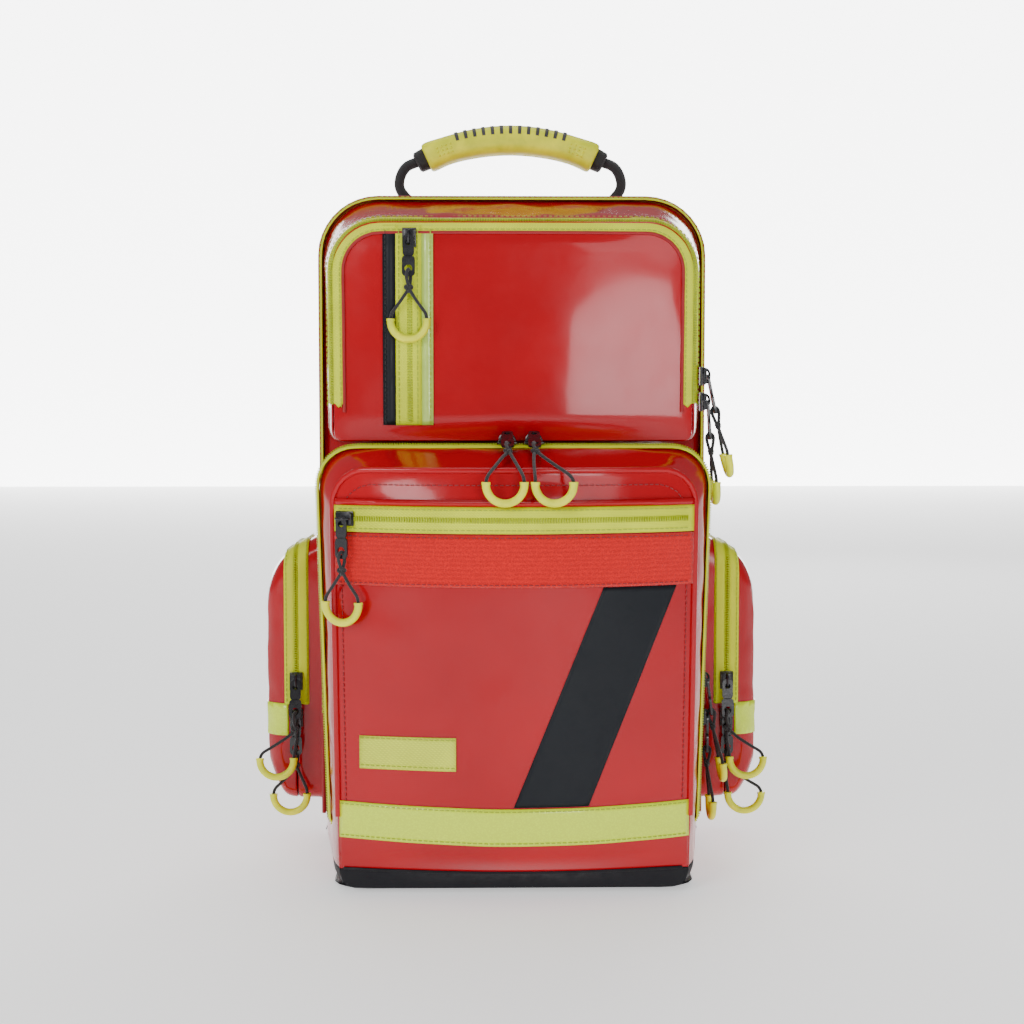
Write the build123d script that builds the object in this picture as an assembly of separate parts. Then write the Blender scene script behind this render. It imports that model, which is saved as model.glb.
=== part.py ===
from build123d import *
import math
import os

# Trauma backpack standing on its base. Millimetres, +Z up, -Y is the front, +X the bag's left as worn.
# The origin is on the floor under the seam between the rear tub and the front half.

# Rear tub
HALF = 154.0            # half width of the main body
TOP = 538.0             # top of the main body
BASE_T = 4.0            # base cover plate
BASE_RIM = 20.0         # height of the base cover's rim
WALL = 3.0              # padded tarpaulin wall
REAR = 100.0            # outside of the back panel
TOP_ROUND = 45.0
FOOT_ROUND = 25.0

# Front half
SEAM = -1.0             # rear face of the front half, beside the main zip
DIVIDER = -4.0
COLLAR_FRONT = -62.0    # front edge of the upper pocket's gusset
UPPER_LOW = 344.0
UPPER_HIGH = 517.0
UPPER_HALF = 143.0
UPPER_HINGE = 356.0     # the upper lid folds forward here
LID_BULGE_R = 999.0     # crown of the upper lid, about a vertical axis
LID_FACE = -76.0        # its foremost line

# Lower pocket
GUSSET_FRONT = -83.0
LOWER_HIGH = 340.0
LID_REAR = -83.6
LID_PLANE = -115.0      # where the lid's crown starts
CROWN_R = 310.0         # crown of the lower lid, about a vertical axis
CROWN_FACE = -147.0
BLACK_TOP = 20.0

# Zips and bands
TAPE_T = 1.2
TAPE_W = 9.0
PANEL_ZIP = (278.0, 298.0)
NAME_BAND = (238.0, 277.0)
REFLECTOR = (45.0, 73.0)
LABEL = (-120.0, -47.0, 105.0, 130.0)
UPRIGHT_ZIP_X = -80.0
UPRIGHT_ZIP = (360.0, 512.0)

# Side pockets: profile of height against how far it stands out
POCKET_X = 154.4
POCKET_OUT = 50.0
POCKET_SEAM = 25.0
POCKET_FRONT = 12.0
POCKET_REAR = 86.0
POCKET_WALL = 2.5

# Zip pulls
SLIDER = (11.0, 15.0, 5.0)
SLIDER_GAP = 1.6
TAB = (10.0, 30.0, 1.8)
EYE = 8.1               # how far the tab's mid plane stands off the bag
TAB_HOLE = 3.0
CORD_R = 1.3
GRIP_R = 3.0
KNOT = 39.0
LOOP_TOP = 64.0

# Handle
HANDLE_Y = 90.0
GRIP_ARC_R = 174.5
GRIP_TOP = 600.0
GRIP_SPREAD = 24.7
ROPE_R = 4.5

os.makedirs("parts", exist_ok=True)
made = {}


def keep(name, shape):
    """Files one named piece."""
    made[name] = shape


def slab(x0, x1, y0, y1, z0, z1):
    """A plain box between two corners."""
    middle = ((x0 + x1) / 2, (y0 + y1) / 2, (z0 + z1) / 2)
    return Pos(*middle) * Box(x1 - x0, y1 - y0, z1 - z0)


def outline(y, half_top, half_foot, low, high, round_top, round_foot):
    """Rounded outline across the bag at depth y."""
    face = Polygon(
        (-half_foot, low), (half_foot, low), (half_top, high), (-half_top, high)
    )
    face = fillet(face.vertices().sort_by(Axis.Y)[2:], round_top)
    face = fillet(face.vertices().sort_by(Axis.Y)[:2], round_foot)
    return Plane.XZ.offset(-y) * face


def grown(section, by):
    """The same outline, moved outwards by a distance."""
    y, half_top, half_foot, low, high, round_top, round_foot = section
    return (y, half_top + by, half_foot + by, low - by, high + by, round_top + by, round_foot + by)


def body(sections, by=0.0):
    """Ruled body through outlines."""
    return loft([outline(*grown(s, by)) for s in sections], ruled=True)


def tube_wall(sections, wall):
    """Wall between a body and itself moved inwards, open at both ends."""
    return body(sections) - body(sections, -wall)


def skin(sections, region, thick=TAPE_T):
    """Tape lying on the outside of a body, inside a region."""
    return (body(sections, thick) - body(sections)) & region


def crown(radius, face, low, high):
    """Upright cylinder whose foremost line is at depth face."""
    return Pos(0, face + radius, low) * extrude(Circle(radius), high - low)


def crown_band(radius, face, thick, x0, x1, z0, z1):
    """Tape on a crowned front."""
    ring = crown(radius + thick, face - thick, z0, z1) - crown(radius, face, z0, z1)
    return ring & slab(x0, x1, face - 60, face + 60, z0, z1)


TUB = [
    (1.0, HALF, HALF, BASE_T, TOP, TOP_ROUND, FOOT_ROUND),
    (60.0, HALF, HALF, BASE_T, TOP, TOP_ROUND, FOOT_ROUND),
    (REAR, HALF - 8, HALF - 6, BASE_T, TOP - 9, TOP_ROUND, FOOT_ROUND),
]
COLLAR = [
    (DIVIDER, HALF - 1, HALF - 3, UPPER_LOW, TOP - 1, TOP_ROUND, 6.0),
    (COLLAR_FRONT, UPPER_HALF, UPPER_HALF - 1, UPPER_LOW, UPPER_HIGH, 40.0, 6.0),
]
GUSSET = [
    (DIVIDER, HALF - 0.5, HALF - 1, 5.0, LOWER_HIGH, 30.0, 10.0),
    (GUSSET_FRONT, 151.0, 141.0, 5.0, LOWER_HIGH, 30.0, 10.0),
]
LID = [
    (LID_REAR, 151.0, 141.0, 5.0, LOWER_HIGH + 1, 30.0, 10.0),
    (LID_PLANE, 137.0, 133.0, 5.0, 324.0, 26.0, 10.0),
]


def rear_tub():
    """Main shell, open to the front, and the base cover under it."""
    outer = body(TUB)
    inner_sections = [grown(s, -WALL) for s in TUB]
    last = inner_sections[-1]
    inner_sections[-1] = (REAR - WALL,) + last[1:]
    keep("main_shell", outer - loft([outline(*s) for s in inner_sections], ruled=True))
    under_lid = slab(-132, 132, -110, 2, 0, BASE_T)
    under_tub = slab(-142, 142, 0, REAR - 2, 0, BASE_T)
    sides = slab(-HALF, HALF, 14, 60, 0, BASE_T)
    rim = skin(TUB, slab(-170, 170, 14, 120, 0, BASE_RIM), 1.5)
    keep("base_cover", under_lid + under_tub + sides + rim)
    keep("main_zip", skin(TUB, slab(-170, 170, 1.0, 1.0 + TAPE_W, 118, 560)))


def front_half():
    """Divider, the upper pocket's collar and the lower pocket's gusset in one piece."""
    divider_outline = outline(SEAM, HALF - 0.5, HALF - 0.5, 5.0, TOP, TOP_ROUND, FOOT_ROUND)
    shell = extrude(divider_outline, SEAM - DIVIDER)
    shell += tube_wall(COLLAR, WALL)
    lip = outline(COLLAR_FRONT + WALL, UPPER_HALF, UPPER_HALF - 1, UPPER_LOW, UPPER_HIGH, 40.0, 6.0)
    shell += extrude(lip, WALL) & slab(-150, 150, -70, -50, UPPER_LOW, UPPER_HINGE - 0.5)
    shell += tube_wall(GUSSET, WALL)
    keep("front_shell", shell)
    keep("upper_zip", skin(COLLAR, slab(-170, 170, COLLAR_FRONT, COLLAR_FRONT + TAPE_W, 368, 560)))
    keep("lower_zip", skin(GUSSET, slab(-170, 170, GUSSET_FRONT, GUSSET_FRONT + TAPE_W, 45, 400)))


def upper_lid():
    """Crowned front panel of the upper pocket with its upright zip."""
    panel = outline(-50, UPPER_HALF - 2, UPPER_HALF - 3, UPPER_HINGE + 0.5, UPPER_HIGH - 2, 38.0, 5.0)
    panel = extrude(panel, 40)
    low, high = UPPER_HINGE - 10, UPPER_HIGH + 10
    sheet = crown(LID_BULGE_R, LID_FACE, low, high) - crown(LID_BULGE_R - WALL, LID_FACE + WALL, low, high)
    keep("upper_lid", panel & sheet)
    half_tape = 10.0
    band = (UPRIGHT_ZIP_X - half_tape, UPRIGHT_ZIP_X + half_tape) + UPRIGHT_ZIP
    keep("vertical_zip", crown_band(LID_BULGE_R, LID_FACE, TAPE_T, *band))


def toe(offset):
    """Everything outside the sloped toe, which lets the lid tip forward over the floor."""
    start = Plane(origin=(0, LID_PLANE - 6.8 + offset, 5.0), x_dir=(1, 0, 0), z_dir=(0, -1, -1))
    return start * Box(400, 300, 80, align=(Align.CENTER, Align.CENTER, Align.MIN))


def lid_solid(by):
    """The lower lid's form, moved inwards by a distance."""
    rear = body(LID, by)
    front = extrude(outline(*grown(LID[1], by)), 45)
    cap = front & crown(CROWN_R + by, CROWN_FACE - by, 0, 400)
    return (rear + cap) - toe(-1.414 * by)


def lower_lid():
    """Box lid of the lower pocket: red body, black toe and everything sewn on its front."""
    lid = lid_solid(0) - lid_solid(-WALL)
    # The hollow runs out through the rear, where the gusset meets the lid.
    mouth = extrude(outline(*grown((LID_REAR - 4,) + LID[0][1:], -WALL - 2)), -8)
    lid -= mouth
    keep("lower_lid", lid & slab(-200, 200, -200, 0, BLACK_TOP, 400))
    keep("lower_lid_base", lid & slab(-200, 200, -200, 0, 0, BLACK_TOP))
    front = (CROWN_R, CROWN_FACE)
    keep("panel_zip", crown_band(*front, TAPE_T, -133, 133, *PANEL_ZIP))
    keep("name_band", crown_band(*front, 1.4, -132, 132, *NAME_BAND))
    keep("front_reflector", crown_band(*front, 0.8, -129, 129, *REFLECTOR))
    keep("label_patch", crown_band(*front, 1.0, *LABEL))


def pocket_profile(by=0.0):
    """Height against standing out, for the pocket on the +X side."""
    face = Polygon((0, 40), (34, 42), (POCKET_OUT, 70), (POCKET_OUT, 225), (30, 252), (0, 268))
    face = fillet(face.vertices().filter_by(lambda v: v.X > 20), 10)
    if by:
        face = offset(face, by, kind=Kind.INTERSECTION)
    return face


def pocket_body(by=0.0):
    """Side pocket body, grown or shrunk all round."""
    front = POCKET_FRONT - by
    length = POCKET_REAR + by - front
    place = Plane(origin=(POCKET_X, front + length, 0), x_dir=(1, 0, 0), z_dir=(0, -1, 0))
    return extrude(place * pocket_profile(by), length)


def side_pockets():
    """Two side pockets: a wall sewn to the tub, a lid that folds outwards, a zip between."""
    hollow = pocket_body() - pocket_body(-POCKET_WALL)
    seam = POCKET_X + POCKET_SEAM
    wall = hollow & slab(POCKET_X, seam - 0.3, 0, 100, 0, 300)
    lid = hollow & slab(seam + 0.3, seam + 60, 0, 100, 0, 300)
    tape = (pocket_body(TAPE_T) - pocket_body()) & slab(seam - 0.3 - TAPE_W, seam - 0.3, 0, 100, 122, 300)
    for side, turn in (("right", False), ("left", True)):
        for name, piece in (("pocket_wall", wall), ("pocket_lid", lid), ("zip", tape)):
            keep(f"{side}_{name}", mirror(piece, about=Plane.YZ) if turn else piece)


def tilted(origin, across, out, tilt):
    """Frame of a pull: x across, y up, z out of the bag, leaning out by tilt degrees below the eye."""
    start = Plane(origin=origin, x_dir=across, z_dir=out)
    return start * Pos(0, 0, EYE) * Rot(-tilt, 0, 0)


def slider(origin, across, out, sideways=False):
    """Slider body on its tape."""
    width, length, thick = SLIDER
    size = (length, width, thick) if sideways else SLIDER
    block = Box(*size)
    block = fillet(block.edges().filter_by(Axis.Z), 2.5)
    return Plane(origin=origin, x_dir=across, z_dir=out) * Pos(0, 0, SLIDER_GAP + thick / 2) * block


def corner_radii(spots):
    """The largest arc that each corner's two runs allow."""
    runs = [b - a for a, b in zip(spots, spots[1:])]
    radii = []
    for a, b in zip(runs, runs[1:]):
        half_turn = math.radians(a.get_angle(b)) / 2
        radii.append(0.45 * min(a.length, b.length) / math.tan(half_turn))
    return radii


def cord(points, radius):
    """Round cord along a route of straight runs and tangent arcs."""
    spots = [Vector(*p) for p in points]
    radii = corner_radii(spots)
    print("cord radii", [round(r, 1) for r in radii])
    path = FilletPolyline(*spots, radius=radii)
    start = Plane(origin=path @ 0, z_dir=path % 0)
    return sweep(start * Circle(radius), path=path)


def tab():
    """Flat tab hanging from the eye, with a hole for the cord."""
    width, length, thick = TAB
    plate = Pos(0, -length / 2, 0) * Box(*TAB)
    plate = fillet(plate.edges().filter_by(Axis.Z), 3)
    return plate - Pos(0, -length + 6, 0) * Cylinder(TAB_HOLE, 2 * thick)


def hanging_pull(frame, centre=0.0, loop_r=14.0):
    """Tab, two cord legs and the grip tube, all hanging straight down."""
    tab_end = -TAB[1]
    legs = []
    for side in (-1, 1):
        end = centre + side * loop_r
        route = [
            (side * 1.6, tab_end, 0),
            (side * 1.7 + 0.05 * centre, -KNOT, 0),
            (end - side * 2, -LOOP_TOP + 10, 0),
            (end, -LOOP_TOP, 0),
        ]
        legs.append(cord(route, CORD_R))
    ring = Pos(centre, -LOOP_TOP, 0) * (Torus(loop_r, GRIP_R) & slab(-40, 40, -40, 0, -10, 10))
    return Compound([frame * piece for piece in [tab(), *legs, ring]])


def crown_point(x, radius, face):
    """Point and outward direction on a crowned front."""
    angle = math.asin(x / radius)
    y = face + radius - radius * math.cos(angle)
    return (x, y), (math.sin(angle), -math.cos(angle), 0), (math.cos(angle), math.sin(angle), 0)


def front_pullers():
    """The upright zip's puller and the panel zip's puller."""
    for name, x, z, radius, face, sideways in (
        ("vertical", UPRIGHT_ZIP_X, 501, LID_BULGE_R, LID_FACE, False),
        ("panel", -126, 288, CROWN_R, CROWN_FACE, True),
    ):
        (px, py), out, across = crown_point(x, radius, face)
        keep(f"{name}_slider", slider((px, py, z), across, out, sideways))
        keep(f"{name}_pull", hanging_pull(tilted((px, py, z), across, out, 0)))


def lower_pullers():
    """Two pullers on the lower lid's top zip, lying forward over its edge."""
    lean = 20.0
    zip_y = -84.6
    for name, x, centre in (("left", -5.0, -7.5), ("right", 15.5, 28.5)):
        spot = (x, zip_y, LOWER_HIGH + 1)
        keep(f"lower_slider_{name}", slider(spot, (1, 0, 0), (0, 0, 1), True))
        tip = math.radians(lean)
        eye = Plane(
            origin=(x, zip_y, spot[2] + EYE + 2.3),
            x_dir=(1, 0, 0),
            z_dir=(0, -math.sin(tip), math.cos(tip)),
        )
        end = eye * Pos(0, -TAB[1], 0)
        y0, z0 = end.position.Y, end.position.Z
        grip_r = 14.0
        legs = []
        for side in (-1, 1):
            route = [
                (x + side * 1.6, y0, z0),
                (x + side * 1.8, y0 - 12, z0 - 4.4),
                (x + 0.5 * (centre - x) + side * 8, y0 - 30, z0 - 9),
                (centre + side * 13, -155.5, 324),
                (centre + side * grip_r, -156.5, 315),
            ]
            legs.append(cord(route, CORD_R))
        half = Torus(grip_r, GRIP_R) & slab(-40, 40, -40, 0, -10, 10)
        ring = Plane(origin=(centre, -156.5, 315), x_dir=(1, 0, 0), z_dir=(0, -1, 0)) * half
        keep(f"lower_pull_{name}", Compound([eye * tab(), *legs, ring]))


def paired_pullers():
    """Pairs of pullers: the first slides, the second stays parked under it."""
    right, front = (1, 0, 0), (0, -1, 0)
    pocket_x = POCKET_X + POCKET_SEAM
    pairs = (
        # name, origin, across, out, lower height, height between, tilts, loop centres
        ("upper", (144.9, -57.5, 0), (0, 1, 0), right, 375, 20, (12, 4), (-9, -9)),
        ("main", (HALF, 0, 0), (0, 1, 0), right, 114, 31, (7, 0), (-27, -27)),
        ("right", (pocket_x, POCKET_FRONT, 0), right, front, 112, 31, (7, 0), (15, 15)),
        ("left", (-pocket_x, POCKET_FRONT, 0), right, front, 112, 31, (7, 0), (-15, -5)),
    )
    parked = []
    for name, origin, across, out, low, gap, tilts, centres in pairs:
        x, y, _ = origin
        first, second = (x, y, low + gap), (x, y, low)
        keep(f"{name}_slider", slider(first, across, out))
        rest = slider(second, across, out)
        if name == "upper":
            keep("upper_parked_slider", rest)
        else:
            parked.append(rest)
        loop_r = 13.0 if name == "main" else 14.0
        for number, spot, tilt, centre in zip((1, 2), (first, second), tilts, centres):
            frame = tilted(spot, across, out, tilt)
            keep(f"{name}_pull_{number}", hanging_pull(frame, centre, loop_r))
    keep("parked_sliders", Compound(parked))


def handle():
    """Moulded grip on a rope loop."""
    centre_z = GRIP_TOP - GRIP_ARC_R
    section = Pos(GRIP_ARC_R, 0) * RectangleRounded(24, 30, 9)
    # The section is turned about an axis that runs front to back.
    grip = revolve(Plane.XY * section, Axis.Y, 2 * GRIP_SPREAD)
    grip = Rot(0, -90 - GRIP_SPREAD, 0) * grip
    keep("handle_grip", Pos(0, HANDLE_Y, centre_z) * grip)
    spread = math.radians(GRIP_SPREAD)
    end_x = GRIP_ARC_R * math.sin(spread)
    end_z = centre_z + GRIP_ARC_R * math.cos(spread)
    legs = []
    for side in (-1, 1):
        route = [
            (side * end_x, HANDLE_Y, end_z),
            (side * (end_x + 14.5), HANDLE_Y, end_z - 6.7),
            (side * 96, HANDLE_Y, 560),
            (side * 79, HANDLE_Y, 540),
        ]
        legs.append(cord(route, ROPE_R))
    keep("handle_strap", Compound(legs))


def band(points, thick, width, plane):
    """Flat strap: a thick line through points, drawn in a plane and given a width."""
    line = FilletPolyline(*points, radius=corner_radii([Vector(*p) for p in points]))
    face = make_face(offset(line, thick / 2, side=Side.BOTH).edges())
    return extrude(plane * face, width / 2, both=True)


def harness():
    """Back pads, shoulder straps, chest strap, hip belt and their hardware."""
    pads = []
    for x in (-62, 62):
        pads.append(Pos(x, REAR + 8.3, 330) * Box(78, 16, 260))
    pads.append(Pos(0, REAR + 8.3, 110) * Box(230, 16, 110))
    pads = [fillet(p.edges().filter_by(Axis.Y), 22) for p in pads]
    keep("back_pads", Compound(pads))
    side_plane = Plane.YZ
    webs = []
    locks = []
    for name, x in (("left", -70.0), ("right", 70.0)):
        plane = side_plane.offset(x)
        route = [(REAR + 24, 462), (REAR + 38, 478), (REAR + 58, 430), (REAR + 56, 300), (REAR + 32, 186)]
        keep(f"shoulder_strap_{name}", band(route, 13, 62, plane))
        foot = [(REAR + 25.5, 158), (REAR + 24, 120), (REAR + 20.5, 64)]
        webs.append(band(foot, 2, 25, plane))
        locks.append(Pos(x, REAR + 27.5, 168) * Rot(-12, 0, 0) * Box(34, 6, 16))
    keep("strap_webbing", Compound(webs))
    keep("ladder_locks", Compound(locks))
    chest_z, chest_y = 380.0, REAR + 66.5
    chest = [slab(-64, 11.5, chest_y, chest_y + 2, chest_z - 12.5, chest_z + 12.5)]
    chest.append(slab(50, 64, chest_y, chest_y + 2, chest_z - 12.5, chest_z + 12.5))
    keep("chest_strap", Compound(chest))
    keep("chest_buckle_socket", slab(-12, 12, chest_y + 2.4, chest_y + 11, chest_z - 14, chest_z + 14))
    keep("chest_buckle_plug", slab(12.4, 38, chest_y + 2.4, chest_y + 9, chest_z - 12, chest_z + 12))
    belt_z = 110.0
    wings = []
    for side, end in ((-1, 60), (1, 95)):
        route = [(side * 124, REAR + 10), (side * 143, REAR + 22), (side * 138, REAR + 52), (side * end, REAR + 56)]
        wings.append(band(route, 12, 80, Plane.XY.offset(belt_z)))
    wings.append(slab(-59, -19.2, REAR + 56, REAR + 58, belt_z - 19, belt_z + 19))
    wings.append(slab(14, 94, REAR + 51.8, REAR + 53.8, belt_z - 19, belt_z + 19))
    keep("hip_belt", Compound(wings))
    keep("hip_buckle_socket", slab(-19, 12, REAR + 54.2, REAR + 64, belt_z - 23, belt_z + 23))
    keep("hip_buckle_plug", slab(12.4, 58, REAR + 54.2, REAR + 63, belt_z - 19, belt_z + 19))


def inside():
    """Frame sheet, stays and the three module pouches in the main compartment."""
    keep("frame_sheet", slab(-125, 125, 94.6, 96.6, 32, 490))
    stays = [slab(x - 12, x + 12, 91.3, 94.3, 36, 486) for x in (-70, 70)]
    keep("frame_stays", Compound(stays))
    for name, low, high in (
        ("circulation_pouch", 10, 168),
        ("airway_pouch", 171, 329),
        ("dressing_pouch", 332, 488),
    ):
        pouch = slab(-135, 135, 46, 91, low, high)
        keep(name, fillet(pouch.edges().filter_by(Axis.Y), 16))


rear_tub()
front_half()
upper_lid()
lower_lid()
side_pockets()
front_pullers()
lower_pullers()
paired_pullers()
handle()
harness()
inside()
for name, shape in made.items():
    export_step(shape, f"parts/{name}.step")
print(len(made), "nodes")
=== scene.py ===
import math
import bmesh
import bpy
from mathutils import Matrix, Vector, noise


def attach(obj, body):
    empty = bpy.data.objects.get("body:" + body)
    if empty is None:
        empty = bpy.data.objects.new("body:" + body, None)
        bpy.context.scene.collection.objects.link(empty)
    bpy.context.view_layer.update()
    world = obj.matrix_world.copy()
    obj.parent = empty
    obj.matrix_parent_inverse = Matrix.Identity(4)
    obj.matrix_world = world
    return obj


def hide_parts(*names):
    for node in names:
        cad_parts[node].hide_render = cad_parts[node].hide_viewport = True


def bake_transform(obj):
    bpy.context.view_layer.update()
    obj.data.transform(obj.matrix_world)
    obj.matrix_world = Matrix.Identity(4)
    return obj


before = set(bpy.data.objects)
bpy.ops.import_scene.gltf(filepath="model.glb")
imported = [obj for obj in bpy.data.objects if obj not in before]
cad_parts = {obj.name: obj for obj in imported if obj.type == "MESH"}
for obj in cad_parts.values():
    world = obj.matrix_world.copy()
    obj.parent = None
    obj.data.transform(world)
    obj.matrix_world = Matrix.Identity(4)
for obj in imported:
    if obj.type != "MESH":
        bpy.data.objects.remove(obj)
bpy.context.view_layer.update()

MM = 0.001
LENS, CAMERA_AT, CAMERA_AIM = 59.0, (-0.022, -1.377, 0.376), (0.0, 0.0, 0.2845)
FLOOR_GLOW, BACKDROP_GLOW, WORLD_GLOW = 0.62, 6.0, 0.3

# ---------------------------------------------------------------- camera, floor and light


def look(obj, place, target):
    """Puts a camera or lamp at a place and points it."""
    obj.location = place
    obj.rotation_euler = (Vector(target) - Vector(place)).to_track_quat("-Z", "Y").to_euler()


def linked(name, data):
    """A new object in the scene, at the origin."""
    obj = bpy.data.objects.new(name, data)
    bpy.context.scene.collection.objects.link(obj)
    return obj


def make_camera():
    data = bpy.data.cameras.new("camera")
    data.lens = LENS
    cam = linked("camera", data)
    look(cam, CAMERA_AT, CAMERA_AIM)
    bpy.context.scene.camera = cam


def lamp(name, place, target, size, power, tall=None):
    data = bpy.data.lights.new(name, "AREA")
    data.shape = "RECTANGLE"
    data.size = size
    data.size_y = tall or size
    data.energy = power
    look(linked(name, data), place, target)


def plain_plane(name, size, turn, place, glow):
    """White studio surface that glows a little, which isn't part of the object."""
    mesh = bpy.data.meshes.new(name)
    bm = bmesh.new()
    bmesh.ops.create_grid(bm, x_segments=1, y_segments=1, size=size)
    bmesh.ops.rotate(bm, verts=bm.verts, matrix=Matrix.Rotation(math.radians(turn), 3, "X"))
    bmesh.ops.translate(bm, verts=bm.verts, vec=place)
    bm.to_mesh(mesh)
    bm.free()
    obj = linked(name, mesh)
    white = bpy.data.materials.new(f"{name}_white")
    white.use_nodes = True
    shader = white.node_tree.nodes["Principled BSDF"]
    shader.inputs["Base Color"].default_value = (0.95, 0.95, 0.95, 1)
    shader.inputs["Roughness"].default_value = 0.8
    shader.inputs["Emission Color"].default_value = (1, 1, 1, 1)
    shader.inputs["Emission Strength"].default_value = glow
    mesh.materials.append(white)


def make_studio():
    plain_plane("floor", 8, 0, (0, 0, 0), FLOOR_GLOW)
    plain_plane("backdrop", 3.4, 90, (0, 6.0, 0), BACKDROP_GLOW)
    world = bpy.data.worlds.new("studio")
    bpy.context.scene.world = world
    world.use_nodes = True
    background = world.node_tree.nodes["Background"]
    background.inputs["Color"].default_value = (1, 1, 1, 1)
    background.inputs["Strength"].default_value = WORLD_GLOW
    lamp("key_left", (-1.5, -2.0, 1.3), (0, 0, 0.3), 0.9, 24)
    lamp("front_soft", (0.9, -2.6, 1.3), (0, 0, 0.25), 1.1, 11)
    lamp("window_right", (0.51, -1.65, 0.445), (0.09, -0.076, 0.41), 0.45, 4.0, tall=0.29)
    lamp("top_soft", (0, 0.3, 2.2), (0, 0, 0.3), 1.2, 12)
    lamp("rear_soft", (0.8, 2.4, 1.2), (0, 0, 0.3), 1.0, 11)


make_camera()
make_studio()

# ---------------------------------------------------------------- finishes


class Finish:
    """A material built from a few chained nodes on object coordinates."""

    def __init__(self, name, colour, rough, metal=0.0, coat=0.0, sheen=0.0, clear=0.0):
        self.mat = bpy.data.materials.new(name)
        self.mat.use_nodes = True
        self.tree = self.mat.node_tree
        self.shader = self.tree.nodes["Principled BSDF"]
        self.set(self.shader, "Base Color", (*colour, 1))
        self.set(self.shader, "Roughness", rough)
        self.set(self.shader, "Metallic", metal)
        self.set(self.shader, "Coat Weight", coat)
        self.set(self.shader, "Coat Roughness", 0.08)
        self.set(self.shader, "Sheen Weight", sheen)
        self.set(self.shader, "Transmission Weight", clear)
        self.colour = colour
        self.where = self.tree.nodes.new("ShaderNodeTexCoord").outputs["Object"]
        self.height = None

    def set(self, node, socket, value):
        node.inputs[socket].default_value = value

    def node(self, kind, **sockets):
        made = self.tree.nodes.new(kind)
        for socket, value in sockets.items():
            key = socket.replace("_", " ")
            target = made.inputs[int(key[1:])] if key[1:].isdigit() else made.inputs[key]
            if isinstance(value, bpy.types.NodeSocket):
                self.tree.links.new(value, target)
            else:
                target.default_value = value
        return made

    def noise(self, scale, detail=4.0, rough=0.55, stretch=(1, 1, 1)):
        mapped = self.node("ShaderNodeMapping", Vector=self.where, Scale=stretch)
        made = self.node(
            "ShaderNodeTexNoise", Vector=mapped.outputs[0], Scale=scale, Detail=detail, Roughness=rough
        )
        return made.outputs["Fac"]

    def wave(self, scale, axis, distortion=0.0):
        made = self.node("ShaderNodeTexWave", Vector=self.where, Scale=scale, Distortion=distortion)
        made.bands_direction = axis
        return made.outputs["Fac"]

    def cells(self, scale, stretch=(1, 1, 1)):
        mapped = self.node("ShaderNodeMapping", Vector=self.where, Scale=stretch)
        made = self.node("ShaderNodeTexVoronoi", Vector=mapped.outputs[0], Scale=scale)
        return made.outputs["Distance"]

    def maths(self, how, a, b):
        made = self.node("ShaderNodeMath", _0=a, _1=b)
        made.operation = how
        return made.outputs[0]

    def spread(self, value, low, high, to_low=0.0, to_high=1.0):
        made = self.node("ShaderNodeMapRange")
        self.tree.links.new(value, made.inputs["Value"])
        for socket, number in zip(("From Min", "From Max", "To Min", "To Max"), (low, high, to_low, to_high)):
            made.inputs[socket].default_value = number
        return made.outputs["Result"]

    def mix(self, factor, first, second):
        made = self.tree.nodes.new("ShaderNodeMix")
        made.data_type = "RGBA"
        for index, value in ((0, factor), (6, first), (7, second)):
            if isinstance(value, bpy.types.NodeSocket):
                self.tree.links.new(value, made.inputs[index])
            elif index == 0:
                made.inputs[index].default_value = value
            else:
                made.inputs[index].default_value = (*value, 1)
        return made.outputs[2]

    def paint(self, value):
        self.tree.links.new(value, self.shader.inputs["Base Color"])

    def roughen(self, value):
        self.tree.links.new(value, self.shader.inputs["Roughness"])

    def bump(self, value, distance, strength=1.0):
        """Adds one more layer of relief."""
        made = self.node("ShaderNodeBump", Height=value, Distance=distance, Strength=strength)
        if self.height:
            self.tree.links.new(self.height, made.inputs["Normal"])
        self.height = made.outputs[0]
        self.tree.links.new(self.height, self.shader.inputs["Normal"])


def shade(colour, by):
    return tuple(min(1.0, c * by) for c in colour)


def tarpaulin(name, colour, rough, coat):
    """Coated tarpaulin: soft waves, a woven scrim under the film, scuffs in the gloss."""
    f = Finish(name, colour, rough, coat=coat)
    f.set(f.shader, "Specular IOR Level", 0.2)
    cloudy = f.noise(6, 3)
    f.paint(f.mix(f.spread(cloudy, 0.3, 0.7), shade(colour, 0.82), shade(colour, 1.1)))
    scuffs = f.noise(55, 8, 0.7)
    f.roughen(f.spread(scuffs, 0.35, 0.75, rough * 0.75, rough * 1.6))
    f.bump(f.noise(9, 2, 0.4), 6 * MM, 0.30)
    f.bump(f.noise(34, 3, 0.5), 1.4 * MM, 0.22)
    weave = f.maths("MULTIPLY", f.wave(210, "X"), f.wave(210, "Z"))
    f.bump(weave, 0.10 * MM, 0.22)
    return f.mat


def woven(name, colour, rough, scale=320, deep=0.25, sheen=0.2):
    """Close woven tape or webbing."""
    f = Finish(name, colour, rough, sheen=sheen)
    threads = f.maths("MULTIPLY", f.wave(scale, "DIAGONAL"), f.wave(scale * 0.8, "Z"))
    tone = f.maths("ADD", f.maths("MULTIPLY", f.noise(30, 3), 0.6), f.maths("MULTIPLY", threads, 0.4))
    f.paint(f.mix(f.spread(tone, 0.2, 0.8), shade(colour, 0.72), shade(colour, 1.12)))
    f.bump(threads, deep * MM, 0.5)
    f.bump(f.noise(180, 4), 0.25 * MM, 0.25)
    return f.mat


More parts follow.
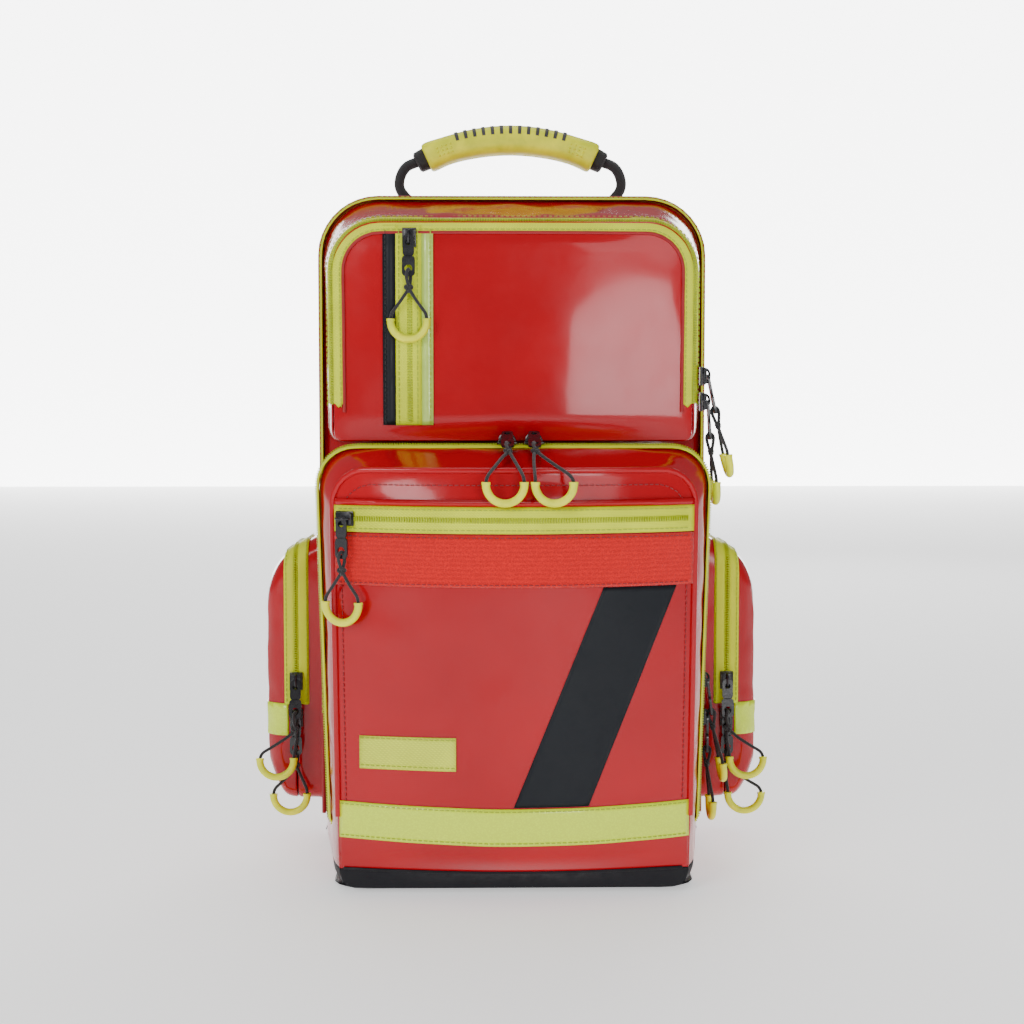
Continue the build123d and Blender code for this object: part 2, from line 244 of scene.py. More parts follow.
def moulded(name, colour, rough, grain=260, coat=0.0):
    """Moulded plastic or lacquered metal with a fine grain and rubbed places."""
    f = Finish(name, colour, rough, coat=coat)
    f.paint(f.mix(f.spread(f.noise(70, 5), 0.35, 0.75), shade(colour, 0.85), shade(colour, 1.35)))
    f.roughen(f.spread(f.noise(140, 6), 0.3, 0.7, rough * 0.8, rough * 1.35))
    f.bump(f.noise(grain, 6, 0.6), 0.12 * MM, 0.35)
    return f.mat


def looped_pile(name, colour):
    """Hook-and-loop facing: tight pile in faint rows."""
    f = Finish(name, colour, 0.92, sheen=0.25)
    pile = f.cells(900)
    rows = f.wave(95, "Z", 2.0)
    tone = f.maths("ADD", f.maths("MULTIPLY", pile, 0.7), f.maths("MULTIPLY", rows, 0.25))
    f.paint(f.mix(f.spread(tone, 0.1, 0.8), shade(colour, 0.7), shade(colour, 1.12)))
    f.bump(pile, 0.6 * MM, 0.7)
    f.bump(f.noise(420, 5), 0.4 * MM, 0.4)
    return f.mat


def prismatic(name, colour):
    """Retroreflective tape: a small bright honeycomb under a clear film."""
    f = Finish(name, colour, 0.32, coat=0.6)
    comb = f.cells(620, (1, 1, 1.15))
    f.paint(f.mix(f.spread(comb, 0.15, 0.6), shade(colour, 1.04), shade(colour, 0.92)))
    f.bump(comb, 0.05 * MM, 0.3)
    f.bump(f.noise(25, 3), 0.5 * MM, 0.15)
    return f.mat


def spacer_mesh(name, colour):
    """Knitted spacer mesh over foam: rows of small holes."""
    f = Finish(name, colour, 0.85, sheen=0.35)
    holes = f.cells(330, (1, 1, 0.7))
    f.paint(f.mix(f.spread(holes, 0.15, 0.6), shade(colour, 1.9), shade(colour, 0.35)))
    f.bump(holes, 1.0 * MM, 0.6)
    return f.mat


def braid(name, colour):
    """Braided cord."""
    f = Finish(name, colour, 0.75, sheen=0.3)
    strands = f.maths("MAXIMUM", f.wave(230, "DIAGONAL", 0.8), f.wave(330, "Z", 1.0))
    f.paint(f.mix(f.spread(strands, 0.3, 0.9), shade(colour, 0.55), shade(colour, 2.0)))
    f.bump(strands, 0.35 * MM, 0.6)
    return f.mat


def clear_film(name, colour):
    """Clear tape laid over the yellow-green one."""
    f = Finish(name, colour, 0.22, coat=0.8)
    f.paint(f.mix(f.spread(f.noise(40, 4), 0.3, 0.7), shade(colour, 0.86), shade(colour, 1.08)))
    f.bump(f.wave(330, "Z"), 0.15 * MM, 0.3)
    f.bump(f.noise(60, 3), 0.6 * MM, 0.25)
    return f.mat


def brushed(name, colour):
    f = Finish(name, colour, 0.35, metal=1.0)
    f.bump(f.noise(400, 4, stretch=(1, 1, 0.05)), 0.05 * MM, 0.4)
    f.roughen(f.spread(f.noise(200, 4, stretch=(1, 1, 0.04)), 0.3, 0.7, 0.25, 0.45))
    return f.mat


RED = tarpaulin("red_tarpaulin", (0.46, 0.0011, 0.008), 0.16, 0.38)
BLACK = tarpaulin("black_tarpaulin", (0.0096, 0.0096, 0.0128), 0.5, 0.0)
CHARCOAL = tarpaulin("charcoal_film", (0.010, 0.012, 0.016), 0.4, 0.0)
TAPE = woven("yellow_zip_tape", (0.80, 0.92, 0.004), 0.62, sheen=0.0)
COIL = moulded("zip_coil", (0.40, 0.48, 0.002), 0.35)
CLEAR = clear_film("clear_strip", (0.525, 0.735, 0.123))
LACQUER = moulded("black_lacquer", (0.0096, 0.0096, 0.0128), 0.24, 300, coat=0.2)
CORD = braid("black_cord", (0.0096, 0.0096, 0.0112))
TUBE = moulded("yellow_tube", (0.80, 0.88, 0.012), 0.38, 240)
GRIP = moulded("yellow_grip", (0.82, 0.88, 0.008), 0.42, 220)
GRIP_MARK = moulded("grip_marks", (0.048, 0.048, 0.048), 0.5)
PILE = looped_pile("red_pile", (0.69, 0.00184, 0.00184))
PRISM = prismatic("reflective_tape", (0.72, 0.92, 0.004))
LABEL = woven("label_yellow", (0.80, 0.92, 0.05), 0.5, 260, 0.4, sheen=0.0)
WEB = woven("black_webbing", (0.0128, 0.0128, 0.0144), 0.7, 260, 0.5)
MESH = spacer_mesh("spacer_mesh", (0.0176, 0.0176, 0.0192))
BUCKLE = moulded("black_acetal", (0.0128, 0.0128, 0.0144), 0.4)
THREAD = woven("red_thread", (0.276, 0.0023, 0.0069), 0.6, 700, 0.1)
THREAD_YELLOW = woven("yellow_thread", (0.455, 0.595, 0.007), 0.6, 700, 0.1)
BINDING = woven("red_binding", (0.391, 0.00184, 0.0069), 0.55, 420, 0.15)
SHEET_PLASTIC = moulded("frame_sheet_plastic", (0.75, 0.75, 0.72), 0.45)
STAY = brushed("stay_alloy", (0.75, 0.76, 0.78))
POUCH_FINISH = {
    "circulation_pouch": tarpaulin("pouch_red_nylon", (0.506, 0.0069, 0.0092), 0.5, 0.0),
    "airway_pouch": tarpaulin("pouch_blue_nylon", (0.0092, 0.069, 0.437), 0.5, 0.0),
    "dressing_pouch": tarpaulin("pouch_green_nylon", (0.0092, 0.276, 0.046), 0.5, 0.0),
}

# ---------------------------------------------------------------- making pieces


def scaled(bm):
    """Millimetres to metres."""
    bmesh.ops.scale(bm, vec=(MM, MM, MM), verts=bm.verts)
    return bm


def piece(name, bm, mat, body, slot, stands_for=(), sharp=40, thick=0.0, levels=0):
    """Turns a bmesh in millimetres into a finished piece that rides on a body."""
    scaled(bm)
    bmesh.ops.remove_doubles(bm, verts=bm.verts, dist=0.02 * MM)
    bmesh.ops.recalc_face_normals(bm, faces=bm.faces)
    mesh = bpy.data.meshes.new(name)
    bm.to_mesh(mesh)
    bm.free()
    mesh.materials.append(mat)
    mesh.polygons.foreach_set("use_smooth", [True] * len(mesh.polygons))
    mesh.set_sharp_from_angle(angle=math.radians(sharp))
    obj = linked(name, mesh)
    if thick:
        wall = obj.modifiers.new("thickness", "SOLIDIFY")
        wall.thickness = thick * MM
        wall.offset = -1
    if levels:
        finer = obj.modifiers.new("finer", "SUBSURF")
        finer.levels = finer.render_levels = levels
    if body:
        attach(obj, body)
    if stands_for:
        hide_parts(*stands_for)
    return obj


def outline(station, segments=8):
    """Rounded outline across the bag, as points in order, made by bevelling a plain four-sided one."""
    y, half_top, half_foot, low, high, round_top, round_foot = station
    bm = bmesh.new()
    corners = [
        bm.verts.new((x, y, z))
        for x, z in ((-half_foot, low), (half_foot, low), (half_top, high), (-half_top, high))
    ]
    bm.faces.new(corners)
    for level, size in ((high, round_top), (low, round_foot)):
        picked = [v for v in bm.verts if abs(v.co.z - level) < 0.01 and v in corners]
        bmesh.ops.bevel(
            bm, geom=picked, offset=size * 0.999, segments=segments, profile=0.5, affect="VERTICES",
            material=-1,
        )
        corners = [v for v in bm.verts]
    bm.faces.ensure_lookup_table()
    points = [v.co.copy() for v in bm.faces[0].verts]
    bm.free()
    return points


def refine(points, step):
    """Points with the long straight stretches cut shorter."""
    finer = []
    for a, b in zip(points, points[1:] + points[:1]):
        count = max(1, round((b - a).length / step))
        finer += [a.lerp(b, i / count) for i in range(count)]
    return finer


def spaced(points, count):
    """An open line again as count evenly spaced points."""
    run = [0.0]
    for a, b in zip(points, points[1:]):
        run.append(run[-1] + (b - a).length)
    made = []
    i = 0
    for k in range(count):
        at = run[-1] * k / (count - 1)
        while i < len(run) - 2 and run[i + 1] < at:
            i += 1
        made.append(points[i].lerp(points[i + 1], (at - run[i]) / (run[i + 1] - run[i])))
    return made


def arch(station, low, segments=8, step=6.0):
    """The outline above a level, from the left foot over the top to the right foot."""
    points = refine(outline(station, segments), step)
    lowest = min(range(len(points)), key=lambda i: (points[i].z, points[i].x))
    points = points[lowest:] + points[:lowest]
    kept = [p for p in points if p.z >= low]
    split = max(range(len(kept)), key=lambda i: (kept[i] - kept[i - 1]).length)
    kept = kept[split:] + kept[:split]
    return spaced(kept if kept[0].x < kept[-1].x else kept[::-1], 160)


def ripple(p, size, seed):
    """Smooth random height between -1 and 1."""
    return noise.noise(Vector((p.x / size + seed, p.y / size, p.z / size)))


def crease(bm, amount, seed, fade=None, size=55.0):
    """Moves the cloth along its normal in soft dents and finer creases."""
    bm.normal_update()
    moves = []
    for v in bm.verts:
        height = ripple(v.co, size, seed) + 0.45 * ripple(v.co, size * 0.4, seed + 9)
        ridge = 1 - abs(ripple(v.co, size * 0.7, seed + 4)) * 2.2
        height += 0.6 * max(0.0, ridge) ** 3
        weight = fade(v.co) if fade else 1.0
        moves.append(v.normal * height * amount * weight)
    for v, move in zip(bm.verts, moves):
        v.co += move
    return bm


def smooth01(t):
    t = min(1.0, max(0.0, t))
    return t * t * (3 - 2 * t)


def even(points, pitch):
    """Evenly spaced places along a line, each with the direction there."""
    places = []
    ahead = 0.0
    for a, b in zip(points, points[1:]):
        run = (b - a).length
        while ahead <= run:
            places.append((a.lerp(b, ahead / run), (b - a).normalized()))
            ahead += pitch
        ahead -= run
    return places


def repeat(bm, places, size, up_of, bevel=0.25):
    """A small rounded bar at every place, along the line."""
    for spot, along in places:
        up = up_of(spot)
        side = along.cross(up).normalized()
        turn = Matrix((side, along, side.cross(along))).transposed().to_4x4()
        made = bmesh.ops.create_cube(bm, size=1.0)["verts"]
        bmesh.ops.scale(bm, vec=size, verts=made)
        ends = [v for v in made if v.co.z > 0]
        bmesh.ops.scale(bm, vec=(1 - bevel, 1 - bevel, 1), verts=ends)
        bmesh.ops.transform(bm, matrix=Matrix.Translation(spot) @ turn, verts=made)
    return bm


def stitches(name, points, up_of, body, slot, mat, pitch=4.2):
    """A row of stitches along a line."""
    bm = repeat(bmesh.new(), even(points, pitch), (0.75, pitch * 0.72, 0.6), up_of, 0.35)
    return piece(name, bm, mat, body, slot, sharp=60)


def teeth(name, points, up_of, body, mat=None, pitch=2.0, wide=4.2):
    """The coil of a zip: a row of small cross bars."""
    bm = repeat(bmesh.new(), even(points, pitch), (wide, pitch * 0.62, 1.3), up_of, 0.45)
    return piece(name, bm, mat or COIL, body, "zip_tape", sharp=60)


def zip_tape(name, rows, body, stands_for=()):
    return piece(name, cloth(rows), TAPE, body, "zip_tape", stands_for=stands_for, thick=0.8)


def webbing(name, bm, stands_for=(), body="root"):
    return piece(name, bm, WEB, body, "webbing", stands_for=stands_for)


def binding(name, line, radius, body="root"):
    """Piping in the binding's red along a line."""
    return piece(name, tube_along(line, radius, 8), BINDING, body, "red")


def tube_along(points, radius, sides=8):
    """Round piping through points, open ended."""
    bm = bmesh.new()
    first = None
    for i, p in enumerate(points):
        before, after = points[max(i - 1, 0)], points[min(i + 1, len(points) - 1)]
        aim = (after - before).normalized().to_track_quat("Z", "Y").to_matrix().to_4x4()
        made = bmesh.ops.create_circle(
            bm, segments=sides, radius=radius, matrix=Matrix.Translation(p) @ aim
        )["verts"]
        edges = list({e for v in made for e in v.link_edges if all(w in made for w in e.verts)})
        if first:
            bmesh.ops.bridge_loops(bm, edges=first + edges)
        first = edges
    bmesh.ops.holes_fill(bm, edges=bm.edges, sides=sides)
    return bm


def moved(points, by):
    """A line of points moved by a vector."""
    return [p + Vector(by) for p in points]


def cut(bm, place, normal):
    """Cuts away what is beyond a plane."""
    geom = bm.verts[:] + bm.edges[:] + bm.faces[:]
    bmesh.ops.bisect_plane(bm, geom=geom, plane_co=place, plane_no=normal, clear_outer=True)


def swell(points, by):
    """An arch moved outwards, away from the middle of the bag."""
    middle = Vector((0, points[0].y, min(p.z for p in points) + 60))
    out = []
    for i, p in enumerate(points):
        along = points[min(i + 1, len(points) - 1)] - points[max(i - 1, 0)]
        side = Vector((along.z, 0, -along.x)).normalized()
        if side.dot(p - middle) < 0:
            side = -side
        out.append(p + side * by)
    return out


def cloth(rows, closed=False):
    """Sheet through rows of points, which all have the same count."""
    if closed:
        rows = [row + row[:1] for row in rows]
    across, along = len(rows[0]) - 1, len(rows) - 1
    bm = bmesh.new()
    bmesh.ops.create_grid(bm, x_segments=across, y_segments=along, size=1.0)
    for v in bm.verts:
        i, j = round((v.co.x + 1) / 2 * across), round((v.co.y + 1) / 2 * along)
        v.co = rows[j][i]
    return bm


def lap(points, count):
    """A closed line again as evenly spaced points, counted from the middle of its foot."""
    area = sum(a.x * b.z - b.x * a.z for a, b in zip(points, points[1:] + points[:1]))
    points = points if area > 0 else points[::-1]
    foot = min(p.z for p in points)
    pairs = list(zip(points, points[1:] + points[:1]))
    first = next(i for i, (a, b) in enumerate(pairs) if a.x <= 0 < b.x and min(a.z, b.z) < foot + 4)
    a, b = pairs[first]
    middle = a.lerp(b, -a.x / (b.x - a.x))
    line = [middle] + points[first + 1:] + points[:first + 1] + [middle]
    total = sum((q - p).length for p, q in zip(line, line[1:]))
    places = even(line, total / count)
    return [spot for spot, _ in places[:count]]


def add(bm, other, matrix=None):
    """Adds one bmesh to another, placed by a matrix."""
    other.transform(matrix or Matrix.Identity(4))
    held = bpy.data.meshes.new("held")
    other.to_mesh(held)
    other.free()
    bm.from_mesh(held)
    bpy.data.meshes.remove(held)
    return bm


def block(size, bevel=0.8, segments=2, top=1.0):
    """Rounded block about the origin, narrower at +Z if asked."""
    bm = bmesh.new()
    bmesh.ops.create_cube(bm, size=1.0)
    bmesh.ops.scale(bm, vec=size, verts=bm.verts)
    bmesh.ops.scale(bm, vec=(top, top, 1), verts=[v for v in bm.verts if v.co.z > 0])
    bmesh.ops.bevel(bm, geom=list(bm.edges), offset=bevel, segments=segments, profile=0.5, affect="EDGES")
    return bm


def box_between(low, high, bevel=1.0, segments=2):
    """Rounded block between two corners."""
    low, high = Vector(low), Vector(high)
    return add(bmesh.new(), block(high - low, bevel, segments), Matrix.Translation((low + high) / 2))


def soft_line(points, rounds=3):
    """Line through points with its corners cut again and again."""
    line = [Vector(p) for p in points]
    for _ in range(rounds):
        cut = [line[0]]
        for a, b in zip(line, line[1:]):
            cut += [a.lerp(b, 0.25), a.lerp(b, 0.75)]
        line = cut + [line[-1]]
    return line


def strap(route, width, thick, side, rounds=3, corner=0.45, fine=7.0):
    """Closed strap along a line, with side the direction across it."""
    line = soft_line(route, rounds)
    side = Vector(side)
    r = thick * corner
    section = refine(outline((0, width / 2, width / 2, -thick / 2, thick / 2, r, r), 3), fine)
    rows = []
    for i, p in enumerate(line):
        along = (line[min(i + 1, len(line) - 1)] - line[max(i - 1, 0)]).normalized()
        up = side.cross(along).normalized()
        sizes = (0.0, 0.9, 1.0) if i == 0 else (1.0, 0.9, 0.0) if i == len(line) - 1 else (1.0,)
        rows += [[p + (side * q.x + up * q.z) * size for q in section] for size in sizes]
    return cloth(rows, closed=True)


def cushion(half, low, high, deep, corner, edge, dome=0.0, count=88, foot_corner=None):
    """Stuffed form growing from y = 0 to y = deep, with rounded edges and a crowned top."""
    foot_corner = foot_corner or corner
    rows = []
    centre = Vector((0, 0, (low + high) / 2))

    def ring(y, inset, size=1.0):
        points = lap(
            outline((0, half - inset, half - inset, low + inset, high - inset, corner, foot_corner), 5),
            count,
        )
        return [centre + (p - centre) * size + Vector((0, y, 0)) for p in points]

    rows += [ring(0, edge * 0.4, size) for size in (0, 0.05, 0.5, 0.97)]
    for turn in (0, 22, 45, 67, 90):
        a = math.radians(turn)
        rows.append(ring(deep - edge + edge * math.sin(a), edge * (1 - math.cos(a))))
    for size in (0.9, 0.75, 0.55, 0.35, 0.15, 0.05, 0):
        rows.append(ring(deep + dome * (1 - size**2), edge, size))
    return cloth(rows, closed=True)


# ---------------------------------------------------------------- zip pulls

EYE = 8.1
TAB = (10.0, 30.0, 1.8)
HOLE_AT = 24.0
KNOT = 39.0
LOOP_TOP = 64.0
CORD_D = 2.6
GRIP_R = 3.0
# Half a round bend as the corners of its control line, in loop radii.
BEND = ((-1, -0.414), (-0.414, -1), (0.414, -1), (1, -0.414))


def pull_frame(origin, across, out, tilt=0.0, eye=EYE):
    """Frame of a pull: x across, y up, z out of the bag."""
    across, out = Vector(across).normalized(), Vector(out).normalized()
    base = Matrix((across, out.cross(across), out)).transposed().to_4x4()
    lean = Matrix.Rotation(math.radians(-tilt), 4, "X")
    return Matrix.Translation(origin) @ base @ Matrix.Translation((0, 0, eye)) @ lean


def slider_form(sideways):
    """Slider: two plates with a nose between them and a bridge that holds the tab."""
    bm = bmesh.new()
    add(bm, block((11, 15, 1.7), 0.6), Matrix.Translation((0, 0, 2.6)))
    add(bm, block((10.4, 14.4, 2.0), 0.8, top=0.86), Matrix.Translation((0, 0, 5.2)))
    add(bm, block((4, 6, 2.4), 0.4), Matrix.Translation((0, 4, 3.9)))
    bridge = soft_line([(0, 6, 5.6), (0, 4.6, 8.6), (0, 0, 9.6), (0, -4.2, 8.2), (0, -5.4, 5.6)], 2)
    add(bm, tube_along(bridge, 1.0, 8))
    for side in (-1, 1):
        add(bm, block((0.8, 11, 1.2), 0.3), Matrix.Translation((side * 4.6, 0, 6.1)))
    if sideways:
        bm.transform(Matrix.Rotation(math.radians(90), 4, "Z"))
    return bm


def tab_form():
    """Flat tab with a slot for the bridge and a hole for the cord."""
    width, length, thick = TAB
    bm = bmesh.new()
    for low, high, at, radius in ((-length, -14.0, -HOLE_AT, 3.0), (-15.0, 1.5, -4.0, 2.4)):
        half = width / 2 if radius == 3.0 else width / 2 - 0.6
        rim = lap(outline((0, half, half, low, high, 3, 3), 4), 32)
        round_hole = [
            Vector((radius * math.sin(k * math.tau / 32), 0, at - radius * math.cos(k * math.tau / 32)))
            for k in range(32)
        ]
        rows = [
            [p + Vector((0, y, 0)) for p in line]
            for line, y in ((rim, 0), (rim, thick), (round_hole, thick), (round_hole, 0), (rim, 0))
        ]
        add(bm, cloth(rows, closed=True))
    # Stands in x and z, and lies down into x and y here.
    bm.transform(
        Matrix.Translation((0, 0, -thick / 2)) @ Matrix(
            ((1, 0, 0, 0), (0, 0, 1, 0), (0, 1, 0, 0), (0, 0, 0, 1))
        )
    )
    bmesh.ops.remove_doubles(bm, verts=bm.verts, dist=0.01)
    bmesh.ops.recalc_face_normals(bm, faces=bm.faces)
    return bm


def knot_form(size=0.86):
    """Overhand knot."""
    line = []
    for k in range(49):
        t = k * math.tau / 48
        line.append(
            Vector(
                (math.sin(t) + 2 * math.sin(2 * t), math.cos(t) - 2 * math.cos(2 * t), -1.3 * math.sin(3 * t))
            ) * size
        )
    return tube_along(line, CORD_D / 2, 8)


def rope(name, points, body, diameter=CORD_D, mat=None):
    """Cord on its own centreline."""
    curve = bpy.data.curves.new(name, "CURVE")
    curve.dimensions = "3D"
    curve.bevel_depth = diameter / 2 * MM
    curve.bevel_resolution = 3
    curve.use_fill_caps = True
    curve.resolution_u = 8
    spline = curve.splines.new("NURBS")
    spline.points.add(len(points) - 1)
    for made, p in zip(spline.points, points):
        made.co = (*(Vector(p) * MM), 1)
    spline.order_u = 3
    spline.use_endpoint_u = True
    curve.materials.append(mat or CORD)
    obj = linked(name, curve)
    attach(obj, body)
    return obj


def grip_form(ring, loop_r):
    """Moulded tube bent into half a ring, with a lip at each end."""
    line = []
    for k in range(25):
        a = math.pi * (k / 24) * 1.06 - 0.03 * math.pi
        line.append(ring @ Vector((-loop_r * math.cos(a), -loop_r * math.sin(a), 0)))
    bm = tube_along(line, GRIP_R, 14)
    for end, ahead in ((line[0], line[1]), (line[-1], line[-2])):
        step = (ahead - end).normalized()
        add(bm, tube_along([end - step * 0.4, end + step * 1.4], GRIP_R + 0.35, 14))
    return bm


def make_pull(name, eye, ring, loop_r, length, node=None):
    """Tab, knot, cord and grip of one puller. ring is the frame of the loop's bend."""
    body = node or name
    at = lambda x, y, z=0.0: eye @ Vector((x, y, z))
    loop = lambda u, v: ring @ Vector((u * loop_r, v * loop_r, 0))
    tab = piece(
        f"{name}_tab", add(bmesh.new(), tab_form(), eye), LACQUER, body, "zip_metal", stands_for=(body,)
    )
    knot = piece(
        f"{name}_knot", add(bmesh.new(), knot_form(), eye @ Matrix.Translation((0, -KNOT, 0))), CORD, body,
        "rope_black",
    )
    grip = piece(f"{name}_grip", grip_form(ring, loop_r), TUBE, body, "grip_yellow")
    left, right = loop(-1, 0.35), loop(1, 0.35)
    start = at(0.4, -KNOT + 1, 0.9)
    route = [
        start, at(-1.5, -32, 2.2), at(-1.0, -27, 2.9), at(0, -HOLE_AT, 0), at(1.0, -27, -2.9),
        at(1.5, -32, -2.2),
    ]
    route += [
        at(0.3, -KNOT, -0.6), at(-1.6, -KNOT - 3.4, 0).lerp(left, 0.1),
        at(-2.2, -KNOT - 5, 0).lerp(left, 0.65), left,
    ]
    route += [loop(u, v) for u, v in BEND]
    route += [
        right, at(2.2, -KNOT - 5, 0).lerp(right, 0.65), at(1.6, -KNOT - 3.4, 0).lerp(right, 0.1),
        at(0.4, -KNOT + 0.4, 0.5),
    ]
    cord = rope(f"{name}_cord", route, body)


def make_slider(name, origin, across, out, body, sideways=False, stands_for=()):
    place = pull_frame(origin, across, out, eye=0.0)
    bm = add(bmesh.new(), slider_form(sideways), place)
    return piece(name, bm, LACQUER, body, "zip_metal", stands_for=stands_for)


def crown_spot(x, radius, face, z):
    """Place, direction across and direction out on a crowned front."""
    turn = math.asin(x / radius)
    y = face + radius - radius * math.cos(turn)
    return (x, y, z), (math.cos(turn), math.sin(turn), 0), (math.sin(turn), -math.cos(turn), 0)


LID_BULGE_R, LID_FACE = 999.0, -76.0
CROWN_R, CROWN_FACE = 310.0, -147.0
HALF, REAR = 154.0, 100.0
POCKET_X, POCKET_SEAM, POCKET_FRONT, POCKET_REAR, POCKET_OUT = 154.4, 25.0, 12.0, 86.0, 50.0
# Levels where the zips end, and between which the side pockets' reflector lies.
MAIN_END, UPPER_END, LOWER_END, POCKET_END = 118, 370, 45, 122
SIDE_BAND = (97, 124)
RIGHT, FRONT, DEEP, UP, DOWN = (1, 0, 0), (0, -1, 0), (0, 1, 0), (0, 0, 1), (0, 0, -1)


def front_pulls():
    for name, x, z, radius, face, sideways in (
        ("vertical", -80.0, 501.0, LID_BULGE_R, LID_FACE, False),
        ("panel", -126.0, 288.0, CROWN_R, CROWN_FACE, True),
    ):
        origin, across, out = crown_spot(x, radius, face, z)
        make_slider(
            f"{name}_slider_body", origin, across, out, f"{name}_slider", sideways, (f"{name}_slider",)
        )
        eye = pull_frame(origin, across, out)
        ring = eye @ Matrix.Translation((0, -LOOP_TOP, 0))
        make_pull(f"{name}_pull", eye, ring, 14.0, 0.134)


def lower_pulls():
    lean = math.radians(20)
    for name, x, centre, length in (("left", -5.0, -7.5, 0.167), ("right", 15.5, 28.5, 0.170)):
        spot = (x, -84.6, 341.0)
        make_slider(
            f"lower_slider_{name}_body", spot, RIGHT, UP, f"lower_slider_{name}", True,
            (f"lower_slider_{name}",),
        )
        out = (0, -math.sin(lean), math.cos(lean))
        eye = pull_frame((x, -84.6, 341 + EYE + 2.3), RIGHT, out, eye=0.0)
        ring = pull_frame((centre, -156.5, 315.0), RIGHT, FRONT, eye=0.0)
        make_pull(f"lower_pull_{name}", eye, ring, 14.0, length)


def paired_pulls():
    pocket_x = POCKET_X + POCKET_SEAM
    pairs = (
        ("upper", (144.9, -57.5), DEEP, RIGHT, 375, 20, (12, 4), (-9, -9), (0.136, 0.136), "front_half"),
        ("main", (HALF, 0), DEEP, RIGHT, 114, 31, (7, 0), (-27, -27), (0.150, 0.150), "root"),
        ("right", (pocket_x, POCKET_FRONT), RIGHT, FRONT, 112, 31, (7, 0), (15, 15), (0.140, 0.140), "root"),
        ("left", (-pocket_x, POCKET_FRONT), RIGHT, FRONT, 112, 31, (7, 0), (-15, -5), (0.140, 0.134), "root"),
    )
    for name, (x, y), across, out, low, gap, tilts, centres, lengths, home in pairs:
        make_slider(
            f"{name}_slider_body", (x, y, low + gap), across, out, f"{name}_slider", False,
            (f"{name}_slider",),
        )
        # One node holds every parked slider on the rear body, so its first new piece stands for it.
        node = {"upper": ("upper_parked_slider",), "main": ("parked_sliders",)}.get(name, ())
        make_slider(f"{name}_parked_slider_body", (x, y, low), across, out, home, False, node)
        loop_r = 13.0 if name == "main" else 14.0
        for number, z, tilt, centre, length in zip((1, 2), (low + gap, low), tilts, centres, lengths):
            eye = pull_frame((x, y, z), across, out, tilt)
            make_pull(
                f"{name}_pull_{number}", eye, eye @ Matrix.Translation((centre, -LOOP_TOP, 0)), loop_r,
                length,
            )


front_pulls()
lower_pulls()
paired_pulls()

# ---------------------------------------------------------------- shells

BASE_RIM = 20.0
TUB = [(1.5, 154, 154, 4, 538, 45, 25), (60.0, 154, 154, 4, 538, 45, 25), (100.0, 146, 148, 4, 529, 45, 25)]
COLLAR = [(-4.0, 153, 151, 344, 537, 45, 6), (-62.0, 143, 142, 344, 517, 40, 6)]
GUSSET = [(-4.0, 153.5, 153, 5, 340, 30, 10), (-83.0, 151, 141, 5, 340, 30, 10)]
LID = [(-83.6, 151, 141, 5, 341, 30, 10), (-115.0, 137, 133, 5, 324, 26, 10)]
AROUND = 150


def station_at(stations, y):
    """The outline's sizes at a depth, read between the stations."""
    for a, b in zip(stations, stations[1:]):
        if min(a[0], b[0]) <= y <= max(a[0], b[0]):
            t = (y - a[0]) / (b[0] - a[0])
            return tuple(p + (q - p) * t for p, q in zip(a, b))
    return stations[-1]


def grown(station, by):
    y, half_top, half_foot, low, high, round_top, round_foot = station
    return (
        y, half_top + by, half_foot + by, low - by, high + by, max(1, round_top + by),
        max(1, round_foot + by),
    )


def loop_at(stations, y, by=0.0, count=AROUND):
    return lap(outline(grown(station_at(stations, y), by), 8), count)


def tub_skin(by=0.0):
    """Rear tub: soft walls, a rounded back edge and the back panel."""
    rows = [loop_at(TUB, y, by) for y in (1.5, 5, 11, 18, 26, 34, 42, 50, 58, 66, 74, 82, 88)]
    rows += [loop_at(TUB, y, by - inset) for y, inset in ((93, 0.8), (97, 3), (99.5, 7))]
    back = [Vector((p.x, 100 + by, p.z)) for p in loop_at(TUB, 100, by - 12)]
    centre = Vector((0, 100 + by, 268))
    rows += [
        [centre + (p - centre) * size for p in back] for size in (1, 0.9, 0.78, 0.64, 0.5, 0.35, 0.2, 0.06, 0)
    ]
    return crease(
        cloth(rows, closed=True), 1.5, 3.1, lambda p: smooth01((p.y - 3) / 14) * smooth01((p.z - 6) / 30)
    )


def rear_tub():
    piece("rear_tub", tub_skin(), RED, "root", "red", stands_for=("main_shell",), thick=3, levels=1)
    base = tub_skin(1.0)
    cut(base, (0, 0, BASE_RIM), UP)
    cut(base, (0, 12, 0), FRONT)
    piece("base_rim", base, BLACK, "root", "black_base", stands_for=("base_cover",), thick=1.0)
    foot = cushion(140, -106, 97, 3.6, 20, 1.2)
    foot.transform(Matrix(((1, 0, 0, 0), (0, 0, 1, 0), (0, 1, 0, 0.2), (0, 0, 0, 1))))
    piece("base_plate", foot, BLACK, "root", "black_base")
    for side in (-1, 1):
        line = [Vector((side * 155.6, y, BASE_RIM + 0.4)) for y in range(14, 62, 4)]
        stitches(
            f"base_stitching_{'left' if side < 0 else 'right'}", moved(line, (0, 0, -3)),
            lambda p: Vector((p.x, 0, 0)).normalized(), "root", "black_base", WEB,
        )
    for name, y, body in (("rear", 3.2, "root"), ("front", -2.8, "front_half")):
        line = arch(grown(station_at(TUB, max(y, 1.5)), 1.8), 30)
        line = [Vector((p.x, y, p.z)) for p in line]
        binding(f"{name}_seam_piping", line, 1.7, body)
    line = [Vector((p.x, 96.5, p.z)) for p in arch(grown(station_at(TUB, 96), -1.2), 24)]
    binding("back_edge_piping", line, 2.2)


